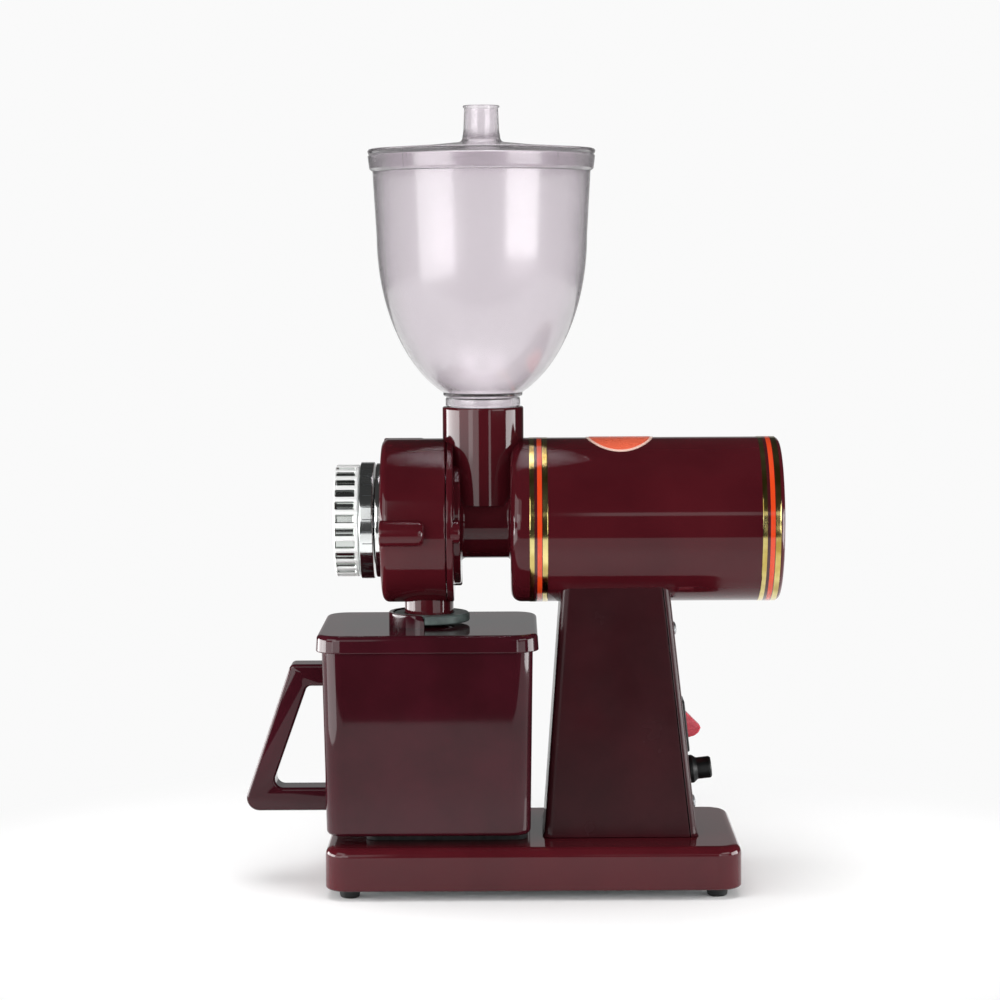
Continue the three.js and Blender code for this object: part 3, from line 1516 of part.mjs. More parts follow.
// An outline whose corners are rounded, each with its own radius
function roundedOutline(corners) {
  const shape = new THREE.Shape();
  corners.forEach(([x, y, radius], i) => {
    const here = new THREE.Vector2(x, y);
    const before = corners[(i + corners.length - 1) % corners.length];
    const after = corners[(i + 1) % corners.length];
    const towards = ([otherX, otherY]) =>
      new THREE.Vector2(otherX - x, otherY - y).normalize().multiplyScalar(radius).add(here);
    const back = towards(before);
    const on = towards(after);
    if (i === 0) shape.moveTo(back.x, back.y);
    else shape.lineTo(back.x, back.y);
    if (radius > 0) shape.quadraticCurveTo(x, y, on.x, on.y);
  });
  return shape;
}

function boxHandle() {
  const wall = -boxTopLength / 2;
  const shape = roundedOutline([
    [wallAt(handleTopHigh), handleTopHigh, 0],
    [wall - handleTopReach, handleTopHigh, handleTopRadius],
    [wall - handleTipReach - handleBevel, handleFootLow, handleOuterRadius],
    [wallAt(handleFootLow), handleFootLow, 0],
    [wallAt(handleFootHigh), handleFootHigh, 0],
    [wall - handleInnerFootReach, handleFootHigh, handleFootRadius],
    [wall - handleInnerTopReach, handleTopLow, handleInnerRadius],
    [wallAt(handleTopLow), handleTopLow, 0],
  ]);
  const half = handleThickness / 2;
  const geometry = new THREE.ExtrudeGeometry(shape, {
    depth: handleThickness - 2 * handleBevel,
    bevelEnabled: true,
    bevelThickness: handleBevel,
    bevelSize: handleBevel,
    bevelOffset: -handleBevel,
    bevelSegments: 2,
    curveSegments: 4,
  });
  const bar = solidOf(geometry.rotateX(Math.PI / 2).translate(0, half - handleBevel, 0));
  const holes = handleScrewHeights.map((height) =>
    rod('x', handleScrewRadius + seatGap, wall - handleScrewLength, 0, coarseFacets, 0, height));
  return cut(bar, ...holes);
}

function handleScrew(height) {
  const inside = wallAt(height) + seatGap + boxWall + seatGap;
  return turned('x', [
    [inside - handleScrewLength, 0],
    [inside - handleScrewLength, handleScrewRadius],
    [inside, handleScrewRadius],
    [inside, handleScrewHeadRadius],
    [inside + handleScrewHeadHeight, handleScrewHeadRadius / 2],
    [inside + handleScrewHeadHeight, 0],
  ], coarseFacets, 0, height);
}

// The scene graph. The whole machine is centred over the origin.
const machine = new THREE.Group();
const grinder = new THREE.Group();
machine.add(grinder);

const stand = new THREE.Group();
stand.add(mesh('base_plate', basePlate(), maroonEnamel));
stand.add(mesh('base_cover', baseCover(), brightSteel));
footPlaces.forEach(([x, y], i) => stand.add(mesh(`rubber_foot_${i + 1}`, rubberFoot(x, y), blackRubber)));
stand.add(mesh('box_rest_pad', boxPad(), blackRubber));
stand.add(mesh('column', columnBody(), maroonEnamel));
stand.add(mesh('column_rear_panel', rearPanel(), maroonEnamel));
boltPlaces.forEach(([x, y], i) => stand.add(mesh(`column_bolt_${i + 1}`, columnBolt(x, y), brightSteel)));
saddleScrewPlaces.forEach((x, i) => stand.add(mesh(`saddle_screw_${i + 1}`, saddleScrew(x), brightSteel)));
stand.add(mesh('run_capacitor', capacitor(), greyPaper));
stand.add(mesh('motor_lead', motorLead(), blackRubber));
grinder.add(stand);

const rearFittings = new THREE.Group();
rearFittings.position.set(columnFoot.end, 0, columnFoot.height);
rearFittings.rotation.y = -rearSlope;
[panelScrewTopHeight, panelScrewLowHeight].forEach((height, i) =>
  rearFittings.add(mesh(`panel_screw_${i + 1}`, panelScrew(height), brightSteel)));
rearFittings.add(mesh('switch_housing', switchHousing(), blackPlastic));
rearFittings.add(mesh('cable_gland', glandBody(), blackPlastic));
rearFittings.add(mesh('gland_nut', glandNut(), blackPlastic));
const rockerPiece = mesh('switch_rocker', rocker(), redPlastic);
rockerPiece.position.set(rockerPivot, 0, alongPanel(switchHeight));
rearFittings.add(rockerPiece);
stand.add(rearFittings);

const head = new THREE.Group();
head.position.z = shaftHeight;
head.add(mesh('grinder_body', bodyCasting(), maroonEnamel));
head.add(mesh('chamber_cover', chamberCover(), maroonEnamel));
screwPlaces.forEach(([y, z], i) => head.add(mesh(`cover_screw_${i + 1}`, coverScrew(y, z), brightSteel)));
head.add(mesh('fixed_burr', burr(fixedBurrBack, fixedBurrFace), burrSteel));
head.add(mesh('rotating_burr', burr(turningBurrBack, turningBurrFace), burrSteel));
head.add(mesh('burr_carrier', burrCarrier(), castAluminium));
head.add(mesh('feed_screw', feedScrew(), castAluminium));
head.add(mesh('burr_spring', burrSpring(), brightSteel));
head.add(mesh('drive_pin', rod('z', pinRadius, -carrierHubRadius + pinRadius, carrierHubRadius - pinRadius,
  coarseFacets, pinX, 0), brightSteel));
head.add(mesh('rotor_shaft', rotorShaft(), brightSteel));
head.add(mesh('shaft_seal', ring('x', sealRadius, shaftRadius + seatGap, sealStart, sealEnd, mediumFacets),
  whiteFelt));
head.add(mesh('front_bearing', bearing(frontBearingStart), brightSteel));
head.add(mesh('rear_bearing', bearing(rearBearingStart), brightSteel));
const indexFront = indexRear - indexRingLength;
head.add(mesh('index_ring', ring('x', indexRingRadius, indexRingBore, indexFront, indexRear), chromePlate));
head.add(mesh('dial_scale_ring', scaleRing(), chromePlate));
head.add(mesh('dial_knob', dialKnob(), chromePlate));
head.add(mesh('adjusting_screw', adjustingScrew(), brightSteel));
const ball = new THREE.Mesh(new THREE.SphereGeometry(ballRadius, bossFacets, bossFacets / 2), brightSteel);
ball.name = 'thrust_ball';
ball.position.x = ballX;
head.add(ball);
head.add(mesh('motor_shell', motorShell(), maroonEnamel));
head.add(mesh('motor_rear_cap', rearCap(), maroonEnamel));
tieRodPlaces.forEach(([y, z], i) => head.add(mesh(`tie_rod_${i + 1}`, tieRod(y, z), brightSteel)));
head.add(mesh('stator_core', statorCore(), laminatedSteel));
head.add(mesh('stator_winding', statorWinding(), enamelledCopper));
head.add(mesh('rotor_core', rotorCore(), laminatedSteel));
head.add(mesh('cooling_fan', coolingFan(), blackPlastic));
grinder.add(head);

grinder.add(mesh('outlet_collar', outletCollar(), greyRubber));

const hopperGroup = new THREE.Group();
hopperGroup.position.z = inletTop;
hopperGroup.add(mesh('hopper', hopper(), clearPlastic));
hopperGroup.add(mesh('hopper_lid', hopperLid(), clearPlastic));
grinder.add(hopperGroup);

const powderGroup = new THREE.Group();
powderGroup.position.x = chuteX;
powderGroup.add(mesh('powder_box', powderBox(), maroonPlastic));
powderGroup.add(mesh('powder_box_lid', powderBoxLid(), maroonPlastic));
powderGroup.add(mesh('box_handle', boxHandle(), maroonPlastic));
handleScrewHeights.forEach((height, i) =>
  powderGroup.add(mesh(`handle_screw_${i + 1}`, handleScrew(height), brightSteel)));
grinder.add(powderGroup);

const extent = new THREE.Box3().setFromObject(grinder);
grinder.position.x = -(extent.min.x + extent.max.x) / 2;

export default machine;
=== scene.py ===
import math

import bpy
import numpy as np
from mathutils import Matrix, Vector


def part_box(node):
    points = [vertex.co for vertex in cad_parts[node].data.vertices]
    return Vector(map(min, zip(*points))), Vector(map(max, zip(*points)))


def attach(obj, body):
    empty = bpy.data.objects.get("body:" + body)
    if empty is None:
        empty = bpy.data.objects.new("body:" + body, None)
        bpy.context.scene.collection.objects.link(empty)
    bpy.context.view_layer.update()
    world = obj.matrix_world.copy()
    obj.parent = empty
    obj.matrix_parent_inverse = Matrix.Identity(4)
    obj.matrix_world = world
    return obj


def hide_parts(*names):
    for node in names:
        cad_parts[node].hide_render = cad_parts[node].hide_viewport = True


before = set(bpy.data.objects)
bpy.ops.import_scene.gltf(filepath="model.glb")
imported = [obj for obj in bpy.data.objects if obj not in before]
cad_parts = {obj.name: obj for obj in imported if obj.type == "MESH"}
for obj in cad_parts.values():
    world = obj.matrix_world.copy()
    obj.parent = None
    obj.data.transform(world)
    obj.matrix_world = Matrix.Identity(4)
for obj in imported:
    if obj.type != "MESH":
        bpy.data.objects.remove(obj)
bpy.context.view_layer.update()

bl_info = {"name": "Flat-burr coffee grinder", "version": (1, 0, 0), "blender": (4, 5, 0),
    "location": "3D View > Sidebar > Grinder",
    "description": "Builds the visible pieces of an electric coffee grinder over its CAD frame",
    "category": "Object"}

MM = 0.001
SHARP_ANGLE = math.radians(32)


# Places taken from the frame, in millimetres


def span(node):
    """Lowest and highest corner of a CAD node, in millimetres."""
    low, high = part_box(node)
    return np.array(low) / MM, np.array(high) / MM


def middle(node):
    """Centre of a CAD node, in millimetres."""
    low, high = span(node)
    return (low + high) / 2


AXIS_X = middle("hopper")[0]
CHUTE_X = middle("powder_box")[0]
SHAFT_Z = middle("rotor_shaft")[2]
COVER_FRONT = span("chamber_cover")[0][0]
COVER_REAR = AXIS_X - 17
JOINT_X = AXIS_X - 16.7
MOTOR_FACE = AXIS_X + 12.5
MOTOR_RADIUS = 38.2
MOTOR_END = span("motor_rear_cap")[1][0]
INLET_TOP = span("grinder_body")[1][2]
BASE_LOW, BASE_HIGH = span("base_plate")
BOX_LOW, BOX_HIGH = span("powder_box")
LID_LOW, LID_HIGH = span("powder_box_lid")
COLLAR_LOW, COLLAR_HIGH = span("outlet_collar")
RIM_TOP = span("hopper")[1][2]
LID_RADIUS = span("hopper_lid")[1][1]
CHIMNEY_TOP = span("hopper_lid")[1][2]


# Profiles, outlines and rings


def soften(points, radii, steps=6, closed=False):
    """Corners as arcs: with unit directions a and b to the neighbours and the angle between them,
    the arc's centre lies on their bisector and its points are weighted sums of its end vectors."""
    points = np.asarray(points, float)
    radii = np.broadcast_to(np.asarray(radii, float), len(points))
    share = np.linspace(0, 1, steps + 1)[:, None]
    out = []
    for i, (corner, radius) in enumerate(zip(points, radii)):
        at_end = not closed and i in (0, len(points) - 1)
        if at_end or radius <= 0:
            out.append(corner[None])
            continue
        back = points[i - 1] - corner
        on = points[(i + 1) % len(points)] - corner
        reach = 0.49 * min(np.linalg.norm(back), np.linalg.norm(on))
        back, on = back / np.linalg.norm(back), on / np.linalg.norm(on)
        half = math.acos(np.clip(np.dot(back, on), -1, 1)) / 2
        if half > math.pi / 2 - 0.02:
            out.append(corner[None])
            continue
        length = min(radius / math.tan(half), reach)
        bisector = (back + on) / np.linalg.norm(back + on)
        centre = corner + bisector * length / math.cos(half)
        start, end = corner + back * length - centre, corner + on * length - centre
        sweep = math.pi - 2 * half
        out.append(centre + (np.sin((1 - share) * sweep) * start + np.sin(share * sweep) * end) / math.sin(
            sweep))
    return np.concatenate(out)


def turned(profile, axis, centre=(0, 0), columns=160, swell=None):
    """Surface of revolution. At share v of the profile and angle u the point lies a(v) along the
    axis and r(v) away from it; swell(a, u, r) may give another distance for each point."""
    profile = np.asarray(profile, float)
    u = np.linspace(0, 2 * math.pi, columns, endpoint=False)[None]
    along = np.repeat(profile[:, :1], columns, axis=1)
    away = np.repeat(profile[:, 1:2], columns, axis=1)
    if swell is not None:
        away = swell(along, u + 0 * along, away)
    first, second = centre[0] + away * np.cos(u), centre[1] + away * np.sin(u)
    return np.stack((along, first, second) if axis == "x" else (first, second, along), axis=-1)


def plan(start, end, depth, radius, steps=10):
    """Outline of a rectangle with round corners: four quarter circles joined by straight lines."""
    quarter = np.linspace(0, math.pi / 2, steps + 1)
    signs = [(1, 1), (-1, 1), (-1, -1), (1, -1)]
    out = []
    for i, (sx, sy) in enumerate(signs):
        x = (end - radius) if sx > 0 else (start + radius)
        y = sy * (depth / 2 - radius)
        angle = quarter + i * math.pi / 2
        out.append(np.stack([x + radius * np.cos(angle), y + radius * np.sin(angle)], axis=-1))
    return np.concatenate(out)


def stacked(outlines, heights):
    """Level outlines, one above another: row v holds the outline at height z(v)."""
    outlines = np.asarray(outlines, float)
    level = np.repeat(np.asarray(heights, float)[:, None, None], outlines.shape[1], axis=1)
    return np.concatenate([outlines, level], axis=-1)


def boxed(levels):
    """Rows of round-cornered rectangles from (start, end, depth, radius, height) at each level."""
    return stacked([plan(a, b, d, r) for a, b, d, r, _ in levels], [level[4] for level in levels])


def slab(outline, half, edge, steps=5):
    """An outline in x and z given a thickness along y, its two rims rounded: on the rim the outline
    moves in by e(1 - cos t) along its own normal while y moves out by e sin t."""
    outline = np.asarray(outline, float)
    ahead, behind = np.roll(outline, -1, axis=0) - outline, outline - np.roll(outline, 1, axis=0)
    ahead /= np.linalg.norm(ahead, axis=1, keepdims=True)
    behind /= np.linalg.norm(behind, axis=1, keepdims=True)
    tangent = ahead + behind
    tangent /= np.linalg.norm(tangent, axis=1, keepdims=True)
    area = np.sum(outline[:, 0] * np.roll(outline[:, 1], -1) - outline[:, 1] * np.roll(outline[:, 0], -1))
    inward = np.stack([-tangent[:, 1], tangent[:, 0]], axis=-1) * np.sign(area)
    stretch = 1 / np.clip(np.sum(tangent * ahead, axis=1, keepdims=True), 0.5, 1)
    t = np.linspace(0, math.pi / 2, steps + 1)
    inset = np.concatenate([edge * (1 - np.cos(t[::-1])), edge * (1 - np.cos(t))])
    y = np.concatenate([-(half - edge) - edge * np.sin(t[::-1]), half - edge + edge * np.sin(t)])
    flat = outline[None] + inset[:, None, None] * (inward * stretch)[None]
    across = np.repeat(y[:, None, None], len(outline), axis=1)
    return np.concatenate([flat[..., :1], across, flat[..., 1:]], axis=-1)


def braced(rows, closed, near=0.5, least=5.0):
    """The same surface with a row close to each end of every long stretch, so that a flat or straight
    part keeps its own shading beside a rounded edge: the new row is the weighted sum of its two."""
    following = np.roll(rows, -1, axis=0)
    gaps = np.linalg.norm(following - rows, axis=-1).max(axis=1)
    if not closed:
        gaps[-1] = 0
    out = []
    for here, there, gap in zip(rows, following, gaps):
        shares = (0, near / gap, 1 - near / gap) if gap > least else (0,)
        out += [here + share * (there - here) for share in shares]
    return np.array(out)


def shell(rows, ring_of_rows=False):
    """A closed surface from rows of points. Each row closes on itself. The rows either run in a
    ring, or end in a pole or a flat face. The faces are turned outwards by the signed volume."""
    rows = braced(rows, ring_of_rows)
    rows = braced(rows.swapaxes(0, 1), True).swapaxes(0, 1)
    count, columns = rows.shape[:2]
    number = np.arange(count * columns).reshape(count, columns)
    low = number if ring_of_rows else number[:-1]
    high = np.roll(number, -1, axis=0) if ring_of_rows else number[1:]
    quads = np.stack([low, np.roll(low, -1, axis=1), np.roll(high, -1, axis=1), high], axis=-1).reshape(-1,
        4)
    lids = [] if ring_of_rows else [number[0][::-1], number[-1]]
    points = rows.reshape(-1, 3)
    a, b, c, d = (points[quads[:, k]] - points[0] for k in range(4))
    volume = np.sum(a * np.cross(b, c)) + np.sum(a * np.cross(c, d))
    for lid in lids:
        p = points[lid] - points[0]
        volume += np.sum(p[0] * np.cross(p[1:-1], p[2:]))
    if volume < 0:
        quads, lids = quads[:, ::-1], [lid[::-1] for lid in lids]
    return points, quads, lids


def mesh_of(name, shells, sharp):
    """One mesh from closed shells given in millimetres. Points of a shell that fall together become
    one, and faces that lose a side become triangles or go."""
    points, faces, base = [], [], 0
    for vertices, quads, lids in shells:
        _, first, place = np.unique(np.round(vertices, 5), axis=0, return_index=True, return_inverse=True)
        place = place.reshape(-1)
        points.append(vertices[first])
        quads = place[quads]
        same = quads == np.roll(quads, -1, axis=1)
        faces.extend((quads[~same.any(axis=1)] + base).tolist())
        for k in range(4):
            three = np.delete(quads[same[:, k] & (same.sum(axis=1) == 1)], k, axis=1)
            faces.extend((three + base).tolist())
        for lid in lids:
            ring = place[lid]
            ring = ring[ring != np.roll(ring, -1)]
            if len(ring) > 2:
                faces.append((ring + base).tolist())
        base += len(first)
    mesh = bpy.data.meshes.new(name)
    mesh.from_pydata((np.concatenate(points) * MM).tolist(), [], faces)
    mesh.polygons.foreach_set("use_smooth", np.ones(len(mesh.polygons), bool))
    mesh.update()
    mesh.set_sharp_from_angle(angle=sharp)
    return mesh


def piece(name, shells, material, body, nodes=(), sharp=SHARP_ANGLE):
    """Puts a mesh in the scene as a piece that rides on a body and stands for CAD nodes."""
    thing = bpy.data.objects.new(name, mesh_of(name, shells, sharp))
    if not thing.data.polygons:
        raise RuntimeError(f"{name} has no faces")
    bpy.context.scene.collection.objects.link(thing)
    thing.data.materials.append(material)
    if nodes:
        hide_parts(*nodes)
    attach(thing, body)


# Materials


# Scales of the wave texture: straight bands 1 mm apart, and slanting ones 1.85 mm apart
SHEET_BANDS = 314
WIRE_BANDS = 196.25
GRADUATIONS = 30


def linear(hex_colour):
    """sRGB hex to linear red, green, blue and alpha."""
    value = hex_colour.lstrip("#")
    channels = [int(value[i:i + 2], 16) / 255 for i in (0, 2, 4)]
    return [c / 12.92 if c <= 0.04045 else ((c + 0.055) / 1.055) ** 2.4 for c in channels] + [1]


def add(tree, kind, inputs=None, **settings):
    """Adds a node with its settings. Each input is a value or another node's output."""
    node = tree.nodes.new("ShaderNode" + kind)
    for key, value in settings.items():
        setattr(node, key, value)
    for key, value in (inputs or {}).items():
        if isinstance(value, bpy.types.NodeSocket):
            tree.links.new(value, node.inputs[key])
        else:
            node.inputs[key].default_value = value
    return node


def maths(tree, operation, first, second):
    """The outcome of one operation on two numbers or sockets."""
    return add(tree, "Math", {0: first, 1: second}, operation=operation).outputs[0]


def between(tree, value, low, high, start=0.0, end=1.0, **settings):
    """A value that runs from low to high while its source runs from start to end."""
    limits = {"From Min": start, "From Max": end, "To Min": low, "To Max": high}
    return add(tree, "MapRange", {"Value": value, **limits}, **settings).outputs["Result"]


def two_tone(tree, source, dark, light, low=0.0, high=1.0):
    """Colour that runs between two hex colours while its source runs from low to high."""
    ramp = add(tree, "ValToRGB", {"Fac": source})
    for element, position, colour in zip(ramp.color_ramp.elements, (low, high), (dark, light)):
        element.position = position
        element.color = linear(colour)
    return ramp.outputs["Color"]


def finish(name, values):
    """A material of that name with one Principled shader, or None for the shader if it exists."""
    found = bpy.data.materials.get(name)
    if found:
        return found, None, None, None
    material = bpy.data.materials.new(name)
    material.use_nodes = True
    tree = material.node_tree
    tree.nodes.clear()
    shader = add(tree, "BsdfPrincipled", values)
    add(tree, "OutputMaterial", {"Surface": shader.outputs[0]})
    return material, tree, shader, add(tree, "TexCoord").outputs["Object"]


def to_output(tree, socket, kind):
    """Links a socket to the surface or the volume of the material's output."""
    output = next(node for node in tree.nodes if node.type == "OUTPUT_MATERIAL")
    tree.links.new(socket, output.inputs[kind])


def noise(tree, place, size_mm, detail):
    """Noise whose features are about that many millimetres wide."""
    values = {"Vector": place, "Scale": 1 / (size_mm * MM), "Detail": detail}
    return add(tree, "TexNoise", values).outputs["Fac"]


def bumped(tree, shader, source, height_mm, strength):
    """Bump of a real height on the shader's normal."""
    bump = add(tree, "Bump", {"Strength": strength, "Distance": height_mm * MM, "Height": source})
    tree.links.new(bump.outputs[0], shader.inputs["Normal"])


def ripple(tree, shader, place, size_mm, height_mm, strength):
    """Bump from noise of one real size and height."""
    bumped(tree, shader, noise(tree, place, size_mm, 2), height_mm, strength)


def tinted(tree, shader, place, dark, light, size_mm):
    """Base colour that wanders slightly between two hex colours."""
    colour = two_tone(tree, noise(tree, place, size_mm, 3), dark, light, 0.35, 0.65)
    tree.links.new(colour, shader.inputs["Base Color"])


def worn_roughness(tree, shader, place, low, high, size_mm):
    """Roughness that varies between two values, as a wiped surface does."""
    level = between(tree, noise(tree, place, size_mm, 3), low, high, 0.3, 0.7)
    tree.links.new(level, shader.inputs["Roughness"])


def plain(name, values, colours, colour_mm, roughness, roughness_mm, grain):
    """A finish whose colour and roughness wander between two values over features of a real size, with
    a bump grain given as size in mm, height in mm and strength."""
    material, tree, shader, place = finish(name, values)
    if tree:
        tinted(tree, shader, place, *colours, colour_mm)
        worn_roughness(tree, shader, place, *roughness, roughness_mm)
        ripple(tree, shader, place, *grain)
    return material


def maroon_enamel():
    """Stoved enamel on cast and pressed metal: deep wet gloss with a faint orange peel of 2.2 mm."""
    look = bpy.context.scene.grinder_finish
    colours, gloss = (look.enamel_dark, look.enamel_light), {"Specular IOR Level": 0.36, "IOR": 1.5}
    return plain("stoved_enamel_maroon", gloss, colours, 40, (0.05, 0.08), 25, (2.2, 0.004, 0.3))


def powder_coat():
    """Powder coat on the cast column: a satin that spreads highlights, with a texture of 1.5 mm."""
    look = bpy.context.scene.grinder_finish
    colours, gloss = (look.coat_dark, look.coat_light), {"Specular IOR Level": 0.16, "IOR": 1.5}
    return plain("satin_powder_coat_maroon", gloss, colours, 35, (0.2, 0.28), 20, (1.5, 0.006, 0.4))


def maroon_abs():
    """Moulded ABS with a polished face: slightly darker than the enamel, sink ripples of 22 mm."""
    look = bpy.context.scene.grinder_finish
    colours, gloss = (look.plastic_dark, look.plastic_light), {"Specular IOR Level": 0.36, "IOR": 1.5}
    return plain("polished_abs_maroon", gloss, colours, 30, (0.03, 0.06), 18, (22, 0.012, 0.2))


def clear_polycarbonate():
    """Moulded clear plastic, slightly milky from washing: it passes most light, scatters a little and
    darkens along thick edges, because the wall takes about 0.7 per cent of the light each millimetre."""
    look = bpy.context.scene.grinder_finish
    values = {"Base Color": linear(look.clear_colour), "IOR": 1.45, "Transmission Weight": 0.97,
        "Coat Weight": 0.7, "Coat Roughness": 0.15}
    material, tree, shader, place = finish("clear_polycarbonate", values)
    if tree:
        worn_roughness(tree, shader, place, 0.19, 0.23, 14)
        ripple(tree, shader, place, 24, 0.02, 0.3)
        tint = add(tree, "VolumeAbsorption", {"Color": linear("#b4aeb2"), "Density": 12})
        to_output(tree, tint.outputs[0], "Volume")
    return material


def chrome_plate():
    """Bright chrome plate with a faint waviness of 1.2 mm."""
    values = {"Base Color": linear("#e9ebea"), "Metallic": 1.0}
    material, tree, shader, place = finish("chrome_plate", values)
    if tree:
        worn_roughness(tree, shader, place, 0.07, 0.13, 6)
        ripple(tree, shader, place, 1.2, 0.004, 0.5)
    return material


def fluted_chrome(radius):
    """Chrome plate: the dial's ribs are a pale satin, a mostly diffuse white with little metal. This is
    partly their own rough finish and partly a painted reflection that keeps them bright whatever they face.
    Its flutes, more than about 0.6 mm inside the ribs' radius, are left polished."""
    material, tree, shader, place = finish("fluted_chrome", {})
    if tree:
        front, rear = span("dial_knob")[0][0] * MM, span("dial_knob")[1][0] * MM
        centred = add(tree, "Mapping", {"Location": (0, 0, -SHAFT_Z * MM), "Vector": place})
        flat = add(tree, "VectorMath", {0: centred.outputs[0], 1: (0, 1, 1)}, operation="MULTIPLY")
        away = add(tree, "VectorMath", {0: flat.outputs[0]}, operation="LENGTH")
        depth = between(tree, away.outputs["Value"], 1, 0, radius - 0.75 * MM, radius - 0.45 * MM)
        along = add(tree, "SeparateXYZ", {"Vector": place}).outputs["X"]
        behind = maths(tree, "GREATER_THAN", along, front + 0.6 * MM)
        before = maths(tree, "LESS_THAN", along, rear - 1.6 * MM)
        flute = maths(tree, "MULTIPLY", depth, maths(tree, "MULTIPLY", behind, before))
        # Painted reflection: the ribs' pale #f4f5f4 with metallic 0.3 stays white whatever they face,
        # standing in for the bright reflection the ribs show.
        colours = {6: linear("#f4f5f4"), 7: linear("#c4c8c5")}
        paint = add(tree, "Mix", {0: flute, **colours}, data_type="RGBA")
        tree.links.new(paint.outputs[2], shader.inputs["Base Color"])
        for socket, rib, polished in (("Metallic", 0.3, 1.0), ("Roughness", 0.3, 0.12)):
            tree.links.new(between(tree, flute, rib, polished), shader.inputs[socket])
        ripple(tree, shader, place, 1.2, 0.003, 0.4)
    return material


def dial_chrome():
    """Chrome plate with engraved graduations filled with grey, one for each 12 degrees."""
    material, tree, shader, place = finish("engraved_chrome", {"Metallic": 1.0})
    if tree:
        centred = add(tree, "Mapping", {"Location": (0, 0, -SHAFT_Z * MM), "Vector": place})
        parts = add(tree, "SeparateXYZ", {"Vector": centred.outputs[0]}).outputs
        angle = maths(tree, "ARCTAN2", parts["Y"], parts["Z"])
        half_steps = maths(tree, "MULTIPLY", angle, 2 * GRADUATIONS / (2 * math.pi))
        line = maths(tree, "LESS_THAN", maths(tree, "PINGPONG", half_steps, 1.0), 0.07)
        front = (span("dial_scale_ring")[0][0] + 1.6) * MM
        mark = maths(tree, "MULTIPLY", line, maths(tree, "GREATER_THAN", parts["X"], front))
        colours = {6: linear("#e9eceb"), 7: linear("#6c7072")}
        paint = add(tree, "Mix", {0: mark, **colours}, data_type="RGBA")
        tree.links.new(paint.outputs[2], shader.inputs["Base Color"])
        tree.links.new(between(tree, mark, 0.12, 0.5), shader.inputs["Roughness"])
    return material


def black_abs():
    """Moulded black ABS with a fine spark-eroded grain of 0.5 mm."""
    return plain("moulded_abs_black", {"Specular IOR Level": 0.3}, ("#0a0b0c", "#131516"), 12,
        (0.32, 0.45), 10, (0.5, 0.01, 0.6))


def black_rubber():
    """Moulded black rubber: dull, with dust-grey highs and a grain of 0.8 mm."""
    return plain("moulded_rubber_black", {"Specular IOR Level": 0.35}, ("#0e0f0f", "#232424"), 5,
        (0.6, 0.8), 8, (0.8, 0.02, 0.7))


def grey_silicone():
    """Grey-green silicone collar: soft satin sheen and slight mottling."""
    return plain("silicone_grey", {"Specular IOR Level": 0.5, "IOR": 1.42}, ("#4d5957", "#6d7b78"), 8,
        (0.35, 0.5), 6, (1.0, 0.01, 0.5))


def red_polyamide():
    """Red moulded rocker with a satin face that lets a little light in."""
    values = {"Specular IOR Level": 0.5, "Subsurface Weight": 0.15, "Subsurface Scale": 0.002}
    return plain("moulded_rocker_red", values, ("#b92c3e", "#cc3f50"), 6,
        (0.25, 0.35), 5, (0.7, 0.006, 0.4))


def metal(name, dark, light, low, high, grain_mm, height_mm):
    """A bare metal: colour wander, roughness range and grain of a real size."""
    return plain(name, {"Metallic": 1.0}, (dark, light), grain_mm * 6, (low, high), grain_mm * 4,
        (grain_mm, height_mm, 0.5))


def zinc_steel():
    """Zinc-plated screws and pins: bright with a faint bloom."""
    return metal("zinc_plated_steel", "#a9adb0", "#c3c6c8", 0.22, 0.36, 0.6, 0.006)


def ground_steel():
    """Hardened burr steel with a ground grain of 0.4 mm."""
    return metal("ground_burr_steel", "#7f8285", "#9a9da0", 0.28, 0.42, 0.4, 0.01)


def banded(name, metallic, roughness, wave_values, direction, colours, height_mm, strength):
    """A metal in bands of two colours, with a bump that follows them."""
    material, tree, shader, place = finish(name, {"Metallic": metallic, "Roughness": roughness})
    if tree:
        wave = add(tree, "TexWave", {"Vector": place, **wave_values}, bands_direction=direction)
        tree.links.new(two_tone(tree, wave.outputs["Fac"], *colours), shader.inputs["Base Color"])
        bumped(tree, shader, wave.outputs["Fac"], height_mm, strength)
    return material


def laminations():
    """Packed electrical sheet, shown as lines 1 mm apart along the shaft."""
    wave = {"Scale": SHEET_BANDS, "Distortion": 0.0}
    return banded("laminated_sheet_steel", 1.0, 0.45, wave, "X", ("#4c4f53", "#85898c"), 0.05, 0.5)


def copper_wire():
    """Enamelled copper turns round the ends of the core, shown as slanting bands."""
    wave = {"Scale": WIRE_BANDS, "Distortion": 2.0, "Detail": 1.0}
    colours = ("#6d2f14", "#c87440")
    return banded("enamelled_copper_wire", 0.7, 0.32, wave, "DIAGONAL", colours, 0.3, 0.8)


def cast_aluminium():
    """Die-cast aluminium, matt with a cast grain of 0.6 mm."""
    return metal("die_cast_aluminium", "#96999b", "#b4b7b8", 0.38, 0.52, 0.6, 0.02)


def capacitor_can():
    """Grey lacquered aluminium can."""
    return plain("lacquered_can_grey", {"Metallic": 0.2}, ("#8d9496", "#a4aaac"), 14, (0.35, 0.5), 10,
        (1.0, 0.01, 0.4))


def wool_felt():
    """Pressed wool felt of the shaft seal."""
    return plain("wool_felt", {"Sheen Weight": 0.4}, ("#c5bfb2", "#e0dbd0"), 1, (0.85, 1.0), 2,
        (0.4, 0.1, 1.0))


def striped(tree, share, stripes, colours):
    """Hard stripes: at each share of the whole width, the colour of the stripe that covers it."""
    ramp = add(tree, "ValToRGB", {"Fac": share})
    ramp.color_ramp.interpolation = "CONSTANT"
    stops = ramp.color_ramp.elements
    width, at = sum(size for size, _ in stripes), 0
    for k, (size, kind) in enumerate(stripes):
        stop = stops[0] if k == 0 else stops.new(at / width)
        stop.position = at / width
        stop.color = colours[kind]
        at += size
    stops[len(stripes)].position = 1
    stops[len(stripes)].color = colours[stripes[-1][1]]
    return ramp.outputs["Color"]


